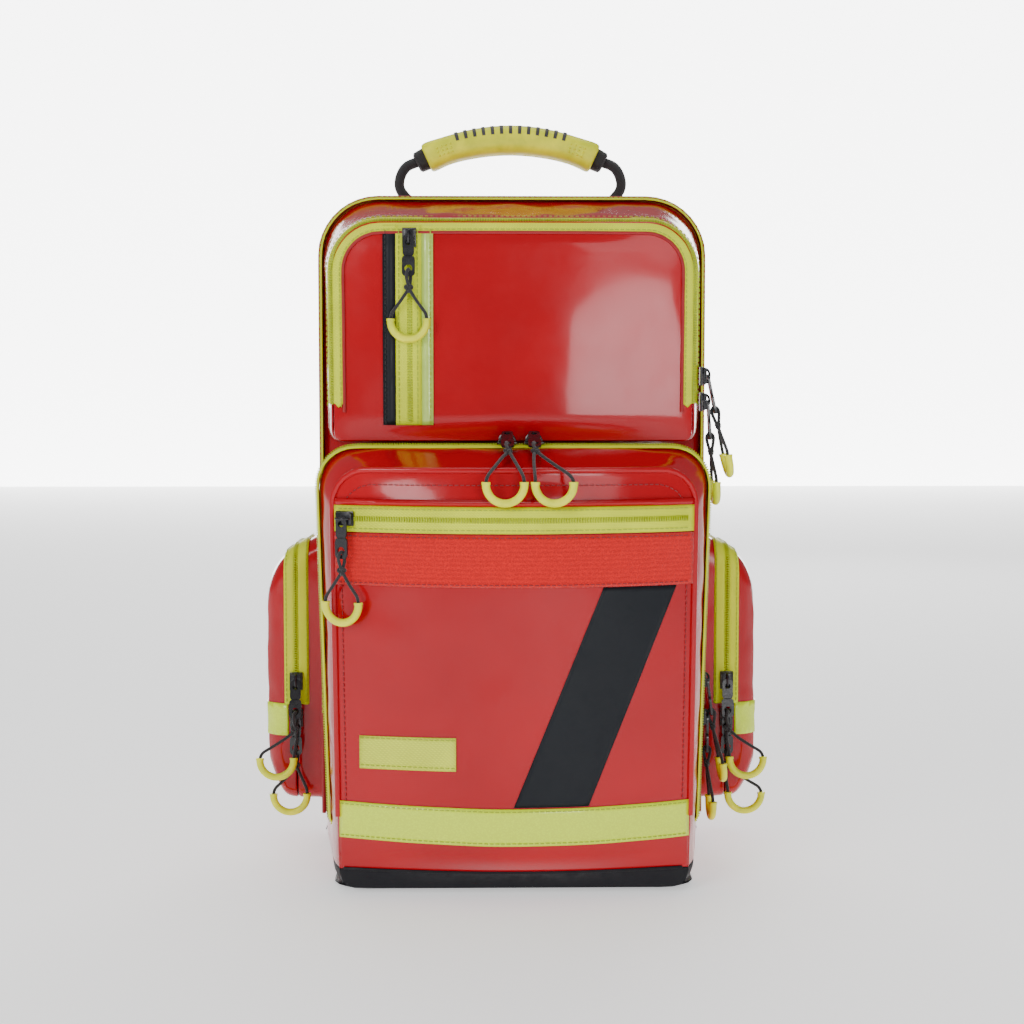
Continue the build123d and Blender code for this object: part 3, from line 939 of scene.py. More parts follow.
def main_zip():
    """Main zip round the whole front: a tape on the tub, one on the front half, the coil between them."""
    outer = lambda y, by: [
        Vector((p.x, y, p.z)) for p in arch(grown(station_at(TUB, max(y, 1.5)), by), MAIN_END, step=4)
    ]
    zip_tape(
        "main_zip_tape", [outer(10.5, 1.0), outer(8, 1.8), outer(5, 2.1), outer(1.2, 2.2)], "root",
        ("main_zip",),
    )
    zip_tape(
        "main_zip_tape_front", [outer(-10, 0.3), outer(-7, 1.4), outer(-4, 2.0), outer(-0.6, 2.2)],
        "front_half",
    )
    teeth("main_zip_coil", outer(0.3, 2.9), outward(440), "root")
    for name, y, body in (("rear", 8.6, "root"), ("front", -8.2, "front_half")):
        stitches(f"main_zip_stitching_{name}", outer(y, 2.0), outward(440), body, "zip_tape", THREAD_YELLOW)


def front_half():
    """Divider, the upper pocket's collar and the lower pocket's gusset."""
    divider = cushion(152.8, 5, 537, 2.6, 44, 0.6, count=140, foot_corner=10)
    divider.transform(Matrix.Translation((0, -3.8, 0)))
    piece("divider", divider, RED, "front_half", "red", stands_for=("front_shell",))
    depths = [-4 - 58 * k / 10 for k in range(11)]
    seam = lambda loops: [[p + Vector((0, 2.2, 0)) for p in loops[0]]] + loops
    collar = crease(
        cloth(seam([loop_at(COLLAR, y) for y in depths]), closed=True), 1.1, 5.7,
        lambda p: smooth01((-p.y - 4) / 12) * smooth01((62 + p.y) / 14),
    )
    piece("upper_pocket_collar", collar, RED, "front_half", "red", thick=2.4, levels=1)
    depths = [-4 - 79 * k / 13 for k in range(14)]
    gusset = crease(
        cloth(seam([loop_at(GUSSET, y) for y in depths]), closed=True), 1.3, 8.3,
        lambda p: smooth01((-p.y - 4) / 12) * smooth01((83 + p.y) / 14) * smooth01((p.z - 8) / 20),
    )
    piece("lower_pocket_gusset", gusset, RED, "front_half", "red", thick=2.4, levels=1)


def forward(p):
    return Vector(FRONT)


def outward(crown):
    """Direction off the side walls, which turns up above a level."""
    return lambda p: Vector((p.x, 0, max(0, p.z - crown))).normalized()


def fullness(z, low, high, foot=26.0, head=26.0, least=0.3, least_head=0.6):
    """How much of its crown a stuffed front keeps at a height."""
    return (least + (1 - least) * smooth01((z - low) / foot)) * (
        least_head + (1 - least_head) * smooth01((high - z) / head)
    )


def sag(x, z):
    """Slack of the lower front: its cloth droops a little between the seams."""
    return 2.2 * ripple(Vector((x, 0, z)), 120, 2.0) + 1.0 * ripple(Vector((x, 0, z)), 45, 6.0)


def lower_face(x, z, out=0.0):
    """Place on the lower lid's crowned front, a distance off the cloth."""
    full = fullness(z, 5, 324, 34, 30, 0.12, 0.80)
    rise = 32.0 * (1 - (x / 137.0) ** 2) * full
    soft = sag(x, z) * smooth01((137 - abs(x)) / 25) * smooth01((z - 10) / 30) * smooth01((322 - z) / 20)
    return Vector((x, -115 - rise - soft - out, z))


def upper_face(x, z, out=0.0):
    """Place on the upper lid's crowned front."""
    full = fullness(z, 344, 516, 20, 24, 0.5, 0.45)
    rise = 10.0 * (1 - min(1, abs(x) / 142.0) ** 2.4) * full
    soft = 1.5 * ripple(Vector((x, 0, z)), 70, 4.0) * smooth01((138 - abs(x)) / 25) * smooth01((512 - z) / 25)
    return Vector((x, -66 - rise - soft - out, z))


def half_at(station, z):
    """Half width of an outline at a height, rounded corners included."""
    y, half_top, half_foot, low, high, round_top, round_foot = station
    half = half_foot + (half_top - half_foot) * (z - low) / (high - low)
    for past, r in ((z - (high - round_top), round_top), (low + round_foot - z, round_foot)):
        if past > 0:
            half -= r - math.sqrt(max(0.0, r * r - past * past))
    return half


def front_rows(face, station, columns, count, out=0.0, low=None, high=None):
    """Rows of a front panel, closer together towards its head and foot."""
    low = station[3] if low is None else low
    high = station[4] if high is None else high
    rows = []
    for j in range(count + 1):
        z = (low + high) / 2 - math.cos(math.pi * j / count) * (high - low) / 2
        half = half_at(station, z)
        rows.append([face(half * (2 * i / columns - 1), z, out) for i in range(columns + 1)])
    return rows


def rim_of(rows):
    """The closed line round a panel's rows."""
    return rows[0] + [row[-1] for row in rows[1:]] + rows[-1][-2::-1] + [row[0] for row in rows[-2:0:-1]]


def lower_lid():
    """Box lid of the lower pocket: side wall, rolled edge and crowned front, red above a black toe."""
    rows = front_rows(lower_face, LID[1], 74, 84)
    front = cloth(rows)
    rim = lap(rim_of(rows), AROUND)
    root = loop_at([LID[0]], LID[0][0])
    wall_rows = []
    for k in range(10):
        t = k / 9
        lift = math.sin(math.pi * t) * 1.5
        row = [a.lerp(b, t) for a, b in zip(root, rim)]
        wall_rows.append([p + Vector((p.x, 0, p.z - 170)).normalized() * lift for p in row])
    whole = add(front, cloth(wall_rows, closed=True))
    bmesh.ops.remove_doubles(whole, verts=whole.verts, dist=0.4)
    crease(
        whole, 1.1, 12.4,
        lambda p: smooth01((p.z - 8) / 30) * smooth01((-p.y - 84) / 8) * smooth01((p.y + 116) / 8),
    )
    toe = whole.copy()
    cut(whole, (0, 0, BASE_RIM), DOWN)
    cut(toe, (0, 0, BASE_RIM), UP)
    piece("lower_lid_body", whole, RED, "lower_lid", "red", stands_for=("lower_lid",), thick=2.5, levels=1)
    piece(
        "lower_lid_toe", toe, BLACK, "lower_lid", "black_base", stands_for=("lower_lid_base",), thick=2.5,
        levels=1,
    )
    edge = [p for p in rim if p.z > 60]
    split = max(range(len(edge)), key=lambda i: (edge[i] - edge[i - 1]).length)
    edge = edge[split:] + edge[:split]
    piece("lower_lid_piping", tube_along(swell(edge, 0.4), 2.4, 10), RED, "lower_lid", "red")
    stitches(
        "lower_lid_edge_stitching", [lower_face(p.x * 0.955, 24 + (p.z - 24) * 0.965, 0.6) for p in edge],
        forward, "lower_lid", "red", THREAD,
    )
    line = [lower_face(x, BASE_RIM + 0.5, 0.8) for x in range(-130, 131, 3)]
    piece("toe_seam", tube_along(line, 1.2, 8), BLACK, "lower_lid", "black_base")


def upper_lid():
    """Front panel of the upper pocket, bent at its foot where it folds, inside a bevelled zip."""
    station = (-64.0, 141, 140, 345, 514, 37, 5)
    rows = front_rows(upper_face, station, 72, 56)
    panel = piece(
        "upper_lid_panel", cloth(rows), RED, None, "red", stands_for=("upper_lid",), thick=2.5, levels=1
    )
    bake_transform(panel)
    line = lambda y, by, low=UPPER_END: [
        Vector((p.x, y, p.z)) for p in arch(grown((y, 141, 140, 345, 514, 38, 5), by), low, step=4)
    ]
    away = lambda p: Vector((p.x, -110, max(0, p.z - 440))).normalized()
    zip_tape(
        "upper_zip_tape_outer", [line(-53, 4.6), line(-58, 4.4), line(-61.5, 3.0), line(-63.6, 1.2)],
        "front_half", ("upper_zip",),
    )
    laid = lambda by, out, low=UPPER_END: [upper_face(p.x, p.z, out) for p in line(-64, by, low)]
    zip_tape(
        "upper_zip_tape_inner", [line(-64.2, 0.6), laid(-1.4, 1.0), laid(-4.2, 1.6), laid(-8.0, 1.5)],
        "upper_lid",
    )
    teeth("upper_zip_coil", line(-64.8, 1.7), away, "front_half")
    stitches(
        "upper_zip_stitching_inner", laid(-6.4, 2.1, UPPER_END + 2), forward, "upper_lid", "zip_tape",
        THREAD_YELLOW,
    )
    stitches(
        "upper_zip_stitching_outer", line(-55.4, 5.4, UPPER_END + 2), away, "front_half", "zip_tape",
        THREAD_YELLOW,
    )
    binding("upper_lid_binding", laid(-8.8, 0.9, UPPER_END - 4), 1.3, "upper_lid")


def lower_zip():
    """Zip round the lower pocket, half on the gusset and half on the lid. Its ends sink into the wall."""

    def line(y, by, low=LOWER_END):
        points = arch(grown(station_at(GUSSET, max(y, -83)), by), low, step=4)
        sunk = [3.2 * smooth01((low + 8 - p.z) / 8) for p in points]
        return [Vector((p.x - math.copysign(deep, p.x), y, p.z)) for p, deep in zip(points, sunk)]

    away = outward(250)
    zip_tape(
        "lower_zip_tape_rear", [line(-74, 1.0), line(-78, 1.9), line(-83.0, 2.1)], "front_half",
        ("lower_zip",),
    )
    zip_tape("lower_zip_tape_front", [line(-84.2, 2.1), line(-88, 1.8), line(-92, 0.2)], "lower_lid")
    teeth("lower_zip_coil", line(-83.6, 2.7), away, "front_half")
    stitches("lower_zip_stitching", line(-76, 2.2), away, "front_half", "zip_tape", THREAD_YELLOW)


def patch(
    name, face, low, high, mat, body, slot, out, stands_for=(), slant=0.0, step=4.0, thick=0.7, bulge=0.0,
    tilt=0.0,
):
    """Band on a crowned front between two corners (x, z), with a shifted foot or a raised right end."""
    (x0, z0), (x1, z1) = low, high
    columns, count = max(2, round((x1 - x0) / step)), max(2, round((z1 - z0) / step))
    rows = []
    for j in range(count + 1):
        v = j / count
        row = []
        for i in range(columns + 1):
            u = i / columns
            x = x0 + (x1 - x0) * u + slant * (1 - v)
            z = z0 + (z1 - z0) * v + tilt * (u - 0.5)
            pad = bulge * (1 - (2 * u - 1) ** 6) * (1 - (2 * v - 1) ** 4)
            row.append(face(x, z, out + pad))
        rows.append(row)
    return piece(name, cloth(rows), mat, body, slot, stands_for=stands_for, thick=thick)


def face_line(face, a, b, out, step=3.0):
    count = max(2, round(math.dist(a, b) / step))
    return [
        face(a[0] + (b[0] - a[0]) * k / count, a[1] + (b[1] - a[1]) * k / count, out)
        for k in range(count + 1)
    ]


def face_stitches(name, face, a, b, out, body, slot, mat):
    return stitches(name, face_line(face, a, b, out), forward, body, slot, mat)


def upper_bands():
    """Upright zip between a dark strip and a clear one."""
    low, high = 357, 511
    patch("dark_strip", upper_face, (-101, low), (-91, high), CHARCOAL, "upper_lid", "red", 1.4)
    patch(
        "upright_zip_tape", upper_face, (-91, low), (-71, high), TAPE, "upper_lid", "zip_tape", 1.6,
        stands_for=("vertical_zip",), bulge=0.6,
    )
    patch("clear_strip", upper_face, (-71, low), (-62, high), CLEAR, "upper_lid", "zip_tape", 1.4)
    teeth(
        "upright_zip_coil", face_line(upper_face, (-80, low + 3), (-80, high - 2), 2.9), forward, "upper_lid"
    )
    for index, x in enumerate((-88.5, -74.0, -64.0)):
        face_stitches(
            f"upright_zip_stitching_{index + 1}", upper_face, (x, low + 2), (x, high - 2), 2.5, "upper_lid",
            "zip_tape", THREAD_YELLOW,
        )
    face_stitches(
        "dark_strip_stitching", upper_face, (-99, low + 2), (-99, high - 2), 1.9, "upper_lid", "red", WEB
    )


def level_stitches(name, levels, low, high, out, slot, mat, rise=0):
    """Rows of stitches across the lower front, from x = low to x = high."""
    for number, z in enumerate(levels, 1):
        a, b = (low, z), (high, z + rise)
        face_stitches(f"{name}_stitching_{number}", lower_face, a, b, out, "lower_lid", slot, mat)


def lower_bands():
    """Panel zip, pile band, dark diagonal, reflector and blank label on the lower front."""
    body = "lower_lid"
    patch(
        "panel_zip_tape", lower_face, (-136, 278), (136, 298), TAPE, body, "zip_tape", 1.4,
        stands_for=("panel_zip",), bulge=0.8,
    )
    teeth("panel_zip_coil", face_line(lower_face, (-131, 288), (131, 288), 3.0), forward, body)
    level_stitches("panel_zip", (280.5, 295.5), -131, 131, 2.3, "zip_tape", THREAD_YELLOW)
    patch("panel_zip_fold", lower_face, (-136, 298), (136, 303), RED, body, "red", 2.0, bulge=1.2, step=3)
    patch(
        "name_band_pile", lower_face, (-135.5, 238), (135.5, 277), PILE, body, "hook_band", 1.4,
        stands_for=("name_band",), bulge=0.5,
    )
    level_stitches("name_band", (240.0, 275.0), -131, 131, 1.9, "hook_band", THREAD)
    patch("dark_diagonal", lower_face, (66, 74), (122, 237.5), CHARCOAL, body, "red", 0.6, slant=-67.0)
    patch(
        "reflector_tape", lower_face, (-133, 45), (133, 73), PRISM, body, "reflective", 1.2,
        stands_for=("front_reflector",),
    )
    level_stitches("reflector", (47.0, 71.0), -131, 131, 1.7, "reflective", THREAD_YELLOW)
    patch(
        "blank_label", lower_face, (-117, 100), (-44, 125), LABEL, body, "label", 1.2,
        stands_for=("label_patch",), tilt=1.5,
    )
    level_stitches("label", (102.0, 123.0), -115, -46, 1.8, "label", THREAD_YELLOW, rise=1)


rear_tub()
main_zip()
front_half()
lower_lid()
upper_lid()
lower_zip()
upper_bands()
lower_bands()

# ---------------------------------------------------------------- side pockets


def pocket_ring(side, out, by=0.0, low=None):
    """Line round a side pocket at a distance out from the tub. With low it is open, from there upwards."""
    foot = 40 + 2 * out / 34 if out < 34 else 42 + 28 * ((out - 34) / 16) ** 1.5
    head = 268 - 16 * out / 30 - (
        26.4 * (1 - math.sqrt(max(0.0, 1 - ((out - 30) / 20) ** 2))) if out > 30 else 0
    )
    half = 37 - (10 * ((out - 34) / 16) ** 2 if out > 34 else 0)
    station = grown((0, half, half, foot, head, 16, 14), by)
    points = lap(outline(station, 6), 90) if low is None else arch(station, low, step=4)
    middle = (POCKET_FRONT + POCKET_REAR) / 2
    return [Vector((side * (POCKET_X + out), middle + p.x, p.z)) for p in points]


def pocket_lid_skin(side, by=0.0):
    rows = [pocket_ring(side, out, by) for out in (25.3, 28, 31, 34, 37, 40, 42.5, 45, 47, 48.6, 49.6, 50)]
    flat = [p + Vector((side * by, 0, 0)) for p in rows[-1]]
    centre = Vector((side * (POCKET_X + POCKET_OUT + by), 49, 147))
    rows += [
        [centre + (p - centre) * size + Vector((side * 2.0 * (1 - size**2), 0, 0)) for p in flat]
        for size in (0.96, 0.88, 0.76, 0.6, 0.42, 0.22, 0.06, 0)
    ]
    return crease(
        cloth(rows, closed=True), 1.2 * -side, 21.0 + side,
        lambda p: smooth01((abs(p.x) - POCKET_X - 27) / 8), size=42,
    )


def side_pockets():
    for side, hand in ((-1, "left"), (1, "right")):
        lid = f"{hand}_lid"
        rows = [pocket_ring(side, out) for out in (0, 4, 8, 12, 16, 20, 24.7)]
        wall = crease(
            cloth(rows, closed=True), 0.8, 31.0 + side,
            lambda p: smooth01((abs(p.x) - POCKET_X - 2) / 6) * smooth01((POCKET_X + 22 - abs(p.x)) / 8),
            size=40,
        )
        piece(
            f"{hand}_pocket_side", wall, RED, "root", "red", stands_for=(f"{hand}_pocket_wall",), thick=2,
            levels=1,
        )
        piece(
            f"{hand}_pocket_front", pocket_lid_skin(side), RED, lid, "red",
            stands_for=(f"{hand}_pocket_lid",), thick=2, levels=1,
        )
        band = pocket_lid_skin(side, 0.9)
        cut(band, (0, 0, SIDE_BAND[1]), UP)
        cut(band, (0, 0, SIDE_BAND[0]), DOWN)
        cut(band, (side * (POCKET_X + 32), 0, 0), (-side, 0, 0))
        piece(f"{hand}_pocket_reflector", band, PRISM, lid, "reflective", thick=0.7)
        ring = lambda out, by, low=POCKET_END: pocket_ring(side, out, by, low)
        away = lambda p: Vector((0, p.y - 49, max(0.0, p.z - 236))).normalized()
        zip_tape(
            f"{hand}_pocket_zip_tape_inner",
            [ring(14.5, 0.4), ring(17, 1.3), ring(21, 1.7), ring(24.5, 1.7)], "root", (f"{hand}_zip",),
        )
        zip_tape(
            f"{hand}_pocket_zip_tape_outer",
            [ring(25.5, 1.7), ring(29, 1.7), ring(33, 1.3), ring(35.0, 0.4)], lid,
        )
        teeth(f"{hand}_pocket_zip_coil", ring(25.0, 2.4), away, "root")
        stitches(
            f"{hand}_pocket_stitching_inner", ring(16.2, 1.9, POCKET_END + 2), away, "root", "zip_tape",
            THREAD_YELLOW,
        )
        stitches(
            f"{hand}_pocket_stitching_outer", ring(33.2, 2.0, POCKET_END + 2), away, lid, "zip_tape",
            THREAD_YELLOW,
        )
        binding(f"{hand}_pocket_piping", ring(1.0, 0.8, 52), 1.7)


# ---------------------------------------------------------------- handle

HANDLE_Y, ARC_Z, ARC_R, ROPE_D = 90.0, 425.5, 174.5, 9.0


def arc_place(turn, off=0.0, y=HANDLE_Y):
    """Place on the grip's arc, off its middle line."""
    a = math.radians(turn)
    return Vector(((ARC_R + off) * math.sin(a), y, ARC_Z + (ARC_R + off) * math.cos(a)))


def arc_sweep(turns, sizes):
    """Rounded section swept along the grip's arc, with a size at each place: half height, half depth."""
    rows = []
    for turn, (tall, deep) in zip(turns, sizes):
        section = lap(
            outline((0, tall, tall, -deep, deep, min(tall, deep) * 0.72, min(tall, deep) * 0.72), 5), 40
        )
        rows.append([arc_place(turn, q.x, HANDLE_Y + q.z) for q in section])
    centre = lambda row: sum(row, Vector()) / len(row)
    rows = [[centre(rows[0])] * 40] + rows + [[centre(rows[-1])] * 40]
    return cloth(rows, closed=True)


def handle():
    """Moulded grip with flared ends on a rope loop."""
    turns = (-24.7, -24.2, -23, -21, -18, -14, -9, -4, 0, 4, 9, 14, 18, 21, 23, 24.2, 24.7)
    shape = {
        24.7: (10.5, 12), 24.2: (12.2, 13.6), 23: (12.6, 14.4), 21: (11.8, 14.6), 18: (11.2, 14.8),
        14: (11.4, 15), 9: (11.8, 15), 4: (12, 15), 0: (12, 15),
    }
    grip = arc_sweep(turns, [shape[abs(t)] for t in turns])
    piece("carry_grip", grip, GRIP, "handle", "grip_yellow", stands_for=("handle_grip",), levels=1)
    marks, dots = bmesh.new(), bmesh.new()
    for k in range(-6, 7):
        turn = k * 2.45
        ring = arc_sweep(
            [turn - 0.5, turn - 0.45, turn + 0.45, turn + 0.5],
            [(11.2, 14.2), (12.1, 15.1), (12.1, 15.1), (11.2, 14.2)],
        )
        level = arc_place(turn, 3.5)
        cut(ring, level, arc_place(turn, 0) - level)
        add(marks, ring)
    for side in (-1, 1):
        for i in range(4):
            for j in range(3):
                spot = arc_place(side * (17.0 + 1.3 * i), -4 + 3.4 * j, HANDLE_Y - 14.4)
                bmesh.ops.create_icosphere(dots, subdivisions=2, radius=1.2, matrix=Matrix.Translation(spot))
        collar = arc_sweep(
            [side * t for t in (24.2, 24.8, 27.1, 27.6)], [(r, r) for r in (8.8, 9.4, 8.8, 6.8)]
        )
        piece(f"grip_collar_{'left' if side < 0 else 'right'}", collar, WEB, "handle", "rope_black")
    piece("grip_marks", marks, GRIP_MARK, "handle", "rope_black")
    piece("grip_dots", dots, GRIP, "handle", "grip_yellow")
    for side, hand in ((-1, "left"), (1, "right")):
        start = Vector((side * 71.0, HANDLE_Y, 584.6))
        route = [start] + [
            Vector((side * x, HANDLE_Y, z))
            for x, z in ((80, 581.5), (92, 577), (97.5, 561), (90, 550), (78, 539.5))
        ]
        node = rope(f"handle_rope_{hand}", route, "handle", ROPE_D)
        if side < 0:
            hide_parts("handle_strap")
        foot = box_between(
            (side * 79 - 11, HANDLE_Y - 11, 535.4), (side * 79 + 11, HANDLE_Y + 11, 539.0), 1.2
        )
        tab = webbing(f"handle_anchor_{hand}", foot)


# ---------------------------------------------------------------- back, straps and belt


def puffed(form, cap, voxel=5.0, pressure=4.0):
    """The cover of a stuffed form, blown up by a short cloth simulation. No point moves further than cap."""
    bmesh.ops.remove_doubles(form, verts=form.verts, dist=0.05)
    bmesh.ops.recalc_face_normals(form, faces=form.faces)
    mesh = bpy.data.meshes.new("cover")
    scaled(form).to_mesh(mesh)
    form.free()
    cover = linked("cover", mesh)
    remesh = cover.modifiers.new("remesh", "REMESH")
    remesh.mode = "VOXEL"
    remesh.voxel_size = voxel * MM
    remeshed = bpy.data.meshes.new_from_object(cover.evaluated_get(bpy.context.evaluated_depsgraph_get()))
    cover.modifiers.clear()
    cover.data = remeshed
    before = [v.co.copy() for v in remeshed.vertices]
    cover_cloth = cover.modifiers.new("cloth", "CLOTH")
    cover_cloth.settings.quality = 4
    cover_cloth.settings.use_pressure = True
    cover_cloth.settings.uniform_pressure_force = pressure
    cover_cloth.settings.effector_weights.gravity = 0
    cover_cloth.point_cache.frame_start, cover_cloth.point_cache.frame_end = 1, 20
    for number in range(1, 21):
        bpy.context.scene.frame_set(number)
    blown = cover.evaluated_get(bpy.context.evaluated_depsgraph_get()).to_mesh()
    for v, start, end in zip(remeshed.vertices, before, blown.vertices):
        step = end.co - start
        v.co = start + (step * (cap * MM / step.length) if step.length > cap * MM else step)
    made = bmesh.new()
    made.from_mesh(remeshed)
    bmesh.ops.scale(made, vec=(1 / MM,) * 3, verts=made.verts)
    bpy.data.objects.remove(cover)
    for held in (mesh, remeshed):
        bpy.data.meshes.remove(held)
    bpy.context.scene.frame_set(1)
    return made


def pad(name, form, mat, slot, fill, stands_for=(), body="root"):
    shown = piece(name, form, mat, body, slot, stands_for=stands_for, levels=1)
    return shown


def edge_binding(name, route, side, width, body="root", radius=1.6, rounds=3):
    """Rolled binding down both edges of a strap."""
    bm = bmesh.new()
    for hand in (-1, 1):
        add(
            bm,
            tube_along([p + Vector(side) * hand * width / 2 for p in soft_line(route, rounds)], radius, 8),
        )
    return webbing(name, bm, body=body)


def channelled(form, pitch, deep):
    """Sewn channels pressed into a pad."""
    for v in form.verts:
        if v.co.y > 6:
            v.co.y -= deep * max(0.0, math.cos(v.co.z * math.tau / pitch)) ** 10
    return form


def back_pads():
    for name, x, half, low, high in (
        ("left", -62, 39, 200, 460), ("right", 62, 39, 200, 460), ("lumbar", 0, 115, 55, 165)
    ):
        form = cushion(half - 1, low + 1, high - 1, 13.0, 20, 6, dome=1.0, count=120)
        form = channelled(puffed(form, 3.0), 37, 2.6)
        form.transform(Matrix.Translation((x, REAR + 0.4, 0)))
        pad(f"back_pad_{name}", form, MESH, "mesh_pad", 0.7, ("back_pads",) if name == "left" else ())
        edge = [
            p + Vector((x, REAR + 3.2, 0))
            for p in lap(outline((0, half + 0.6, half + 0.6, low, high, 20, 20), 8), 120)
        ]
        webbing(f"back_pad_binding_{name}", tube_along(edge + edge[:1], 1.8, 8))


def shoulder_straps():
    locks = bmesh.new()
    for hand, x in (("left", -70.0), ("right", 70.0)):
        at = lambda points: [Vector((x, REAR + y, z)) for y, z in points]
        line = at(((24, 462), (38, 478), (58, 430), (56, 300), (32, 186)))
        form = crease(puffed(strap(line, 61, 11.4, RIGHT), 1.6, 4.0), 0.5, 41.0, size=30)
        pad(f"shoulder_strap_pad_{hand}", form, MESH, "mesh_pad", 0.75, (f"shoulder_strap_{hand}",))
        edge_binding(f"shoulder_strap_binding_{hand}", line, RIGHT, 61)
        over = at(((45, 466), (66.5, 430), (63.6, 300), (40, 190)))
        webbing(f"shoulder_strap_web_{hand}", strap(over, 25, 1.8, RIGHT))
        foot = at(((25.5, 158), (24, 120), (20.5, 64)))
        webbing(f"strap_tail_{hand}", strap(foot, 25, 2, RIGHT), ("strap_webbing",) if x < 0 else ())
        for z in (-7, 0, 7):
            add(locks, block((34, 3.2, 3.0), 0.8), Matrix.Translation((x, REAR + 27.5 - z * 0.2, 168 + z)))
        for side in (-1, 1):
            add(locks, block((3.6, 5.6, 16.6), 1.0), Matrix.Translation((x + side * 15.2, REAR + 27.5, 168)))
    piece("ladder_lock_frames", locks, BUCKLE, "root", "buckle", stands_for=("ladder_locks",))


def buckle_socket(name, x0, x1, y0, y1, z, half, node):
    """Socket of a side-release buckle, with waisted sides and a web bar."""
    bm = bmesh.new()
    add(bm, box_between((x0 + 4, y0, z - half), (x1, y1, z + half), 1.6, 3))
    add(bm, box_between((x0, y0 + 1, z - half + 1), (x0 + 3, y1 - 3, z + half - 1), 1.0))
    for side in (-1, 1):
        add(
            bm,
            box_between(
                (x0, y0 + 1, z + side * (half - 3) - 2), (x0 + 8, y1 - 3, z + side * (half - 3) + 2), 0.8
            ),
        )
    for k in range(4):
        add(
            bm,
            box_between(
                (x0 + 8 + k * 3, y1 - 0.4, z - half * 0.5), (x0 + 9.4 + k * 3, y1 + 0.5, z + half * 0.5),
                0.3, 1,
            ),
        )
    return piece(name, bm, BUCKLE, "root", "buckle", stands_for=(node,))


def buckle_plug(name, x0, x1, y0, y1, z, half, node, body, reach):
    """Plug with its two side arms and middle tongue held in the socket."""
    bm = bmesh.new()
    add(bm, box_between((x0, y0, z - half), (x0 + (x1 - x0) * 0.45, y1, z + half), 1.4, 3))
    add(bm, box_between((x1 - 4, y0 + 0.6, z - half), (x1, y1 - 1, z + half), 1.0))
    for side in (-1, 1):
        add(
            bm,
            box_between(
                (x0 + 4, y0 + 0.6, z + side * (half - 2.5) - 2.5),
                (x1, y1 - 1, z + side * (half - 2.5) + 2.5), 1.0,
            ),
        )
        add(
            bm,
            box_between(
                (x0 - reach, y0 + 2.2, z + side * half * 0.72 - 2),
                (x0 + 2, y1 - 2.2, z + side * half * 0.72 + 2), 0.7,
            ),
        )
    add(bm, box_between((x0 - reach * 0.8, y0 + 2.4, z - 2), (x0 + 2, y1 - 2.4, z + 2), 0.6))
    return piece(name, bm, BUCKLE, body, "buckle", stands_for=(node,))


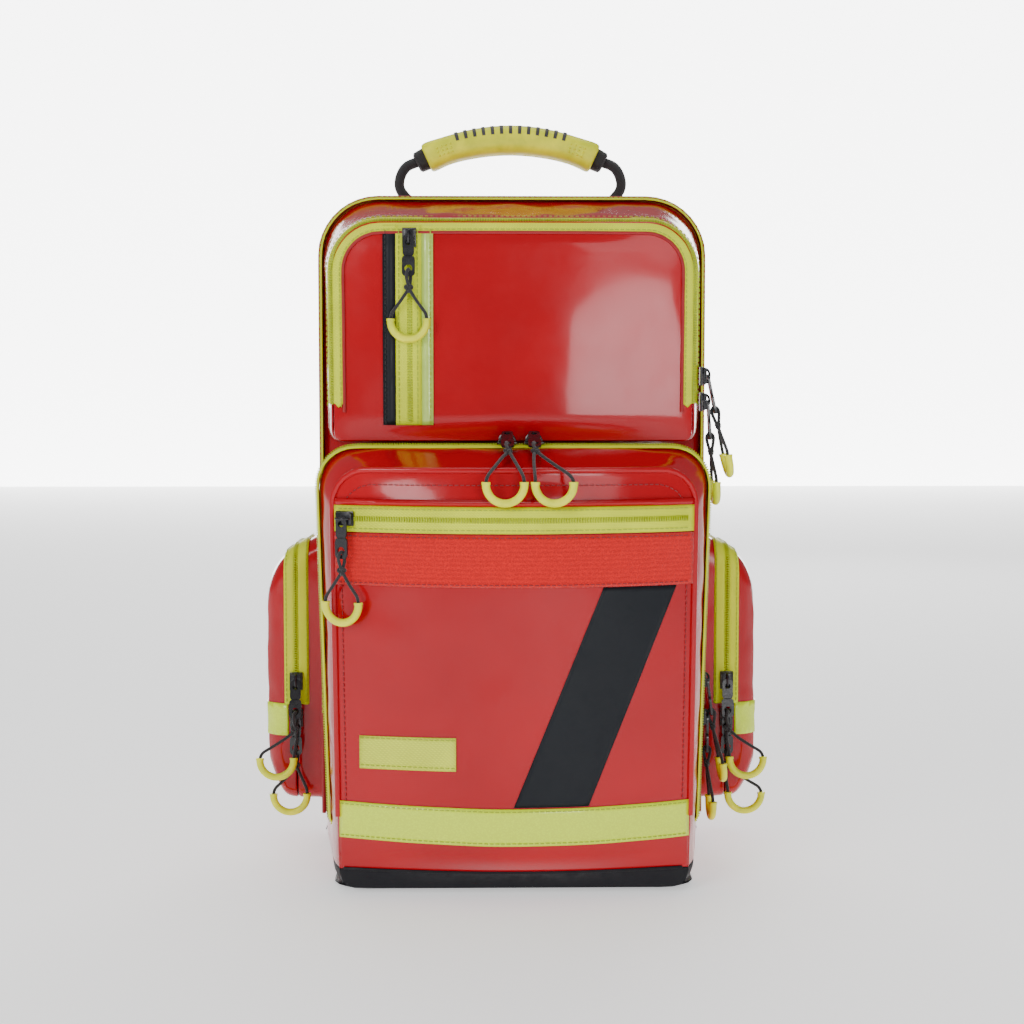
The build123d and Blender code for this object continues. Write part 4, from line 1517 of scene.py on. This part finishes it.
def chest_and_hip():
    z, y = 380.0, REAR + 66.5
    for hand, x0, x1 in (("left", -66, 11.5), ("right", 50, 66)):
        web = strap([(x0, y + 1, z), ((x0 + x1) / 2, y + 1, z), (x1, y + 1, z)], 25, 1.9, UP, rounds=1)
        webbing(f"chest_strap_{hand}", web, ("chest_strap",) if x0 < 0 else ())
    buckle_socket("chest_socket", -12, 12, y + 2.4, y + 11, z, 14, "chest_buckle_socket")
    buckle_plug("chest_plug_body", 12.4, 38, y + 2.4, y + 9, z, 12, "chest_buckle_plug", "chest_plug", 18)
    web = strap([(33, y + 5.5, z), (40, y + 5, z), (56, y + 3.4, z)], 24, 1.6, UP, rounds=2)
    webbing("chest_plug_web", web, body="chest_plug")
    z = 110.0
    for side, hand, end in ((-1, "left", 60), (1, "right", 95)):
        line = [
            (side * 124, REAR + 10, z), (side * 143, REAR + 22, z), (side * 138, REAR + 52, z),
            (side * end, REAR + 56, z),
        ]
        form = crease(puffed(strap(line, 78, 10.4, UP), 1.6, 4.0), 0.5, 51.0 + side, size=30)
        pad(f"hip_wing_{hand}", form, MESH, "mesh_pad", 0.75, ("hip_belt",) if side < 0 else ())
        edge_binding(f"hip_wing_binding_{hand}", line, UP, 78)
    for name, points in (
        ("left", [(-62, 157, z), (-40, 157, z), (-18, 157, z)]),
        ("right", [(14, REAR + 52.8, z), (50, REAR + 52.8, z), (96, REAR + 52.8, z)]),
    ):
        webbing(f"hip_web_{name}", strap(points, 38, 1.9, UP, rounds=1))
    buckle_socket("hip_socket", -19, 12, REAR + 54.2, REAR + 64, z, 23, "hip_buckle_socket")
    buckle_plug("hip_plug_body", 12.4, 58, REAR + 54.2, REAR + 63, z, 19, "hip_buckle_plug", "hip_plug", 24)


# ---------------------------------------------------------------- inside


def inside():
    for node, mat, slot in (
        ("frame_sheet", SHEET_PLASTIC, "frame_plastic"), ("frame_stays", STAY, "stay_alloy")
    ):
        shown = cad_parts[node]
        shown.data.materials.clear()
        shown.data.materials.append(mat)
    for name, low, high in (
        ("circulation_pouch", 10, 168), ("airway_pouch", 171, 329), ("dressing_pouch", 332, 488)
    ):
        slot = {
            "circulation_pouch": "pouch_red", "airway_pouch": "pouch_blue", "dressing_pouch": "pouch_green"
        }[name]
        form = cushion(133, low + 1, high - 1, 40, 16, 7, dome=1.0, count=120)
        form = crease(puffed(form, 2.5, 6.0), 0.9, low * 0.1, size=50)
        form.transform(Matrix.Translation((0, 90.5, 0)) @ Matrix.Scale(-1, 4, (0, 1, 0)))
        pad(f"{name}_bag", form, POUCH_FINISH[name], slot, 0.8, (name,))
        z = high - 22
        bm = cloth([[Vector((x, 45.6, z + dz)) for x in range(-116, 117, 4)] for dz in (-7, 0, 7)])
        piece(f"{name}_zip_tape", bm, WEB, "root", "webbing", thick=0.8)
        teeth(
            f"{name}_zip_coil", [Vector((x, 44.6, z)) for x in range(-114, 115, 4)], forward, "root", BUCKLE
        )
        grip = strap(
            [
                (-50, 46.2, low + 62), (-44, 44.6, low + 62), (0, 43.6, low + 62), (44, 44.6, low + 62),
                (50, 46.2, low + 62),
            ],
            25, 1.8, UP,
        )
        webbing(f"{name}_handle", grip)


side_pockets()
handle()
back_pads()
shoulder_straps()
chest_and_hip()
inside()
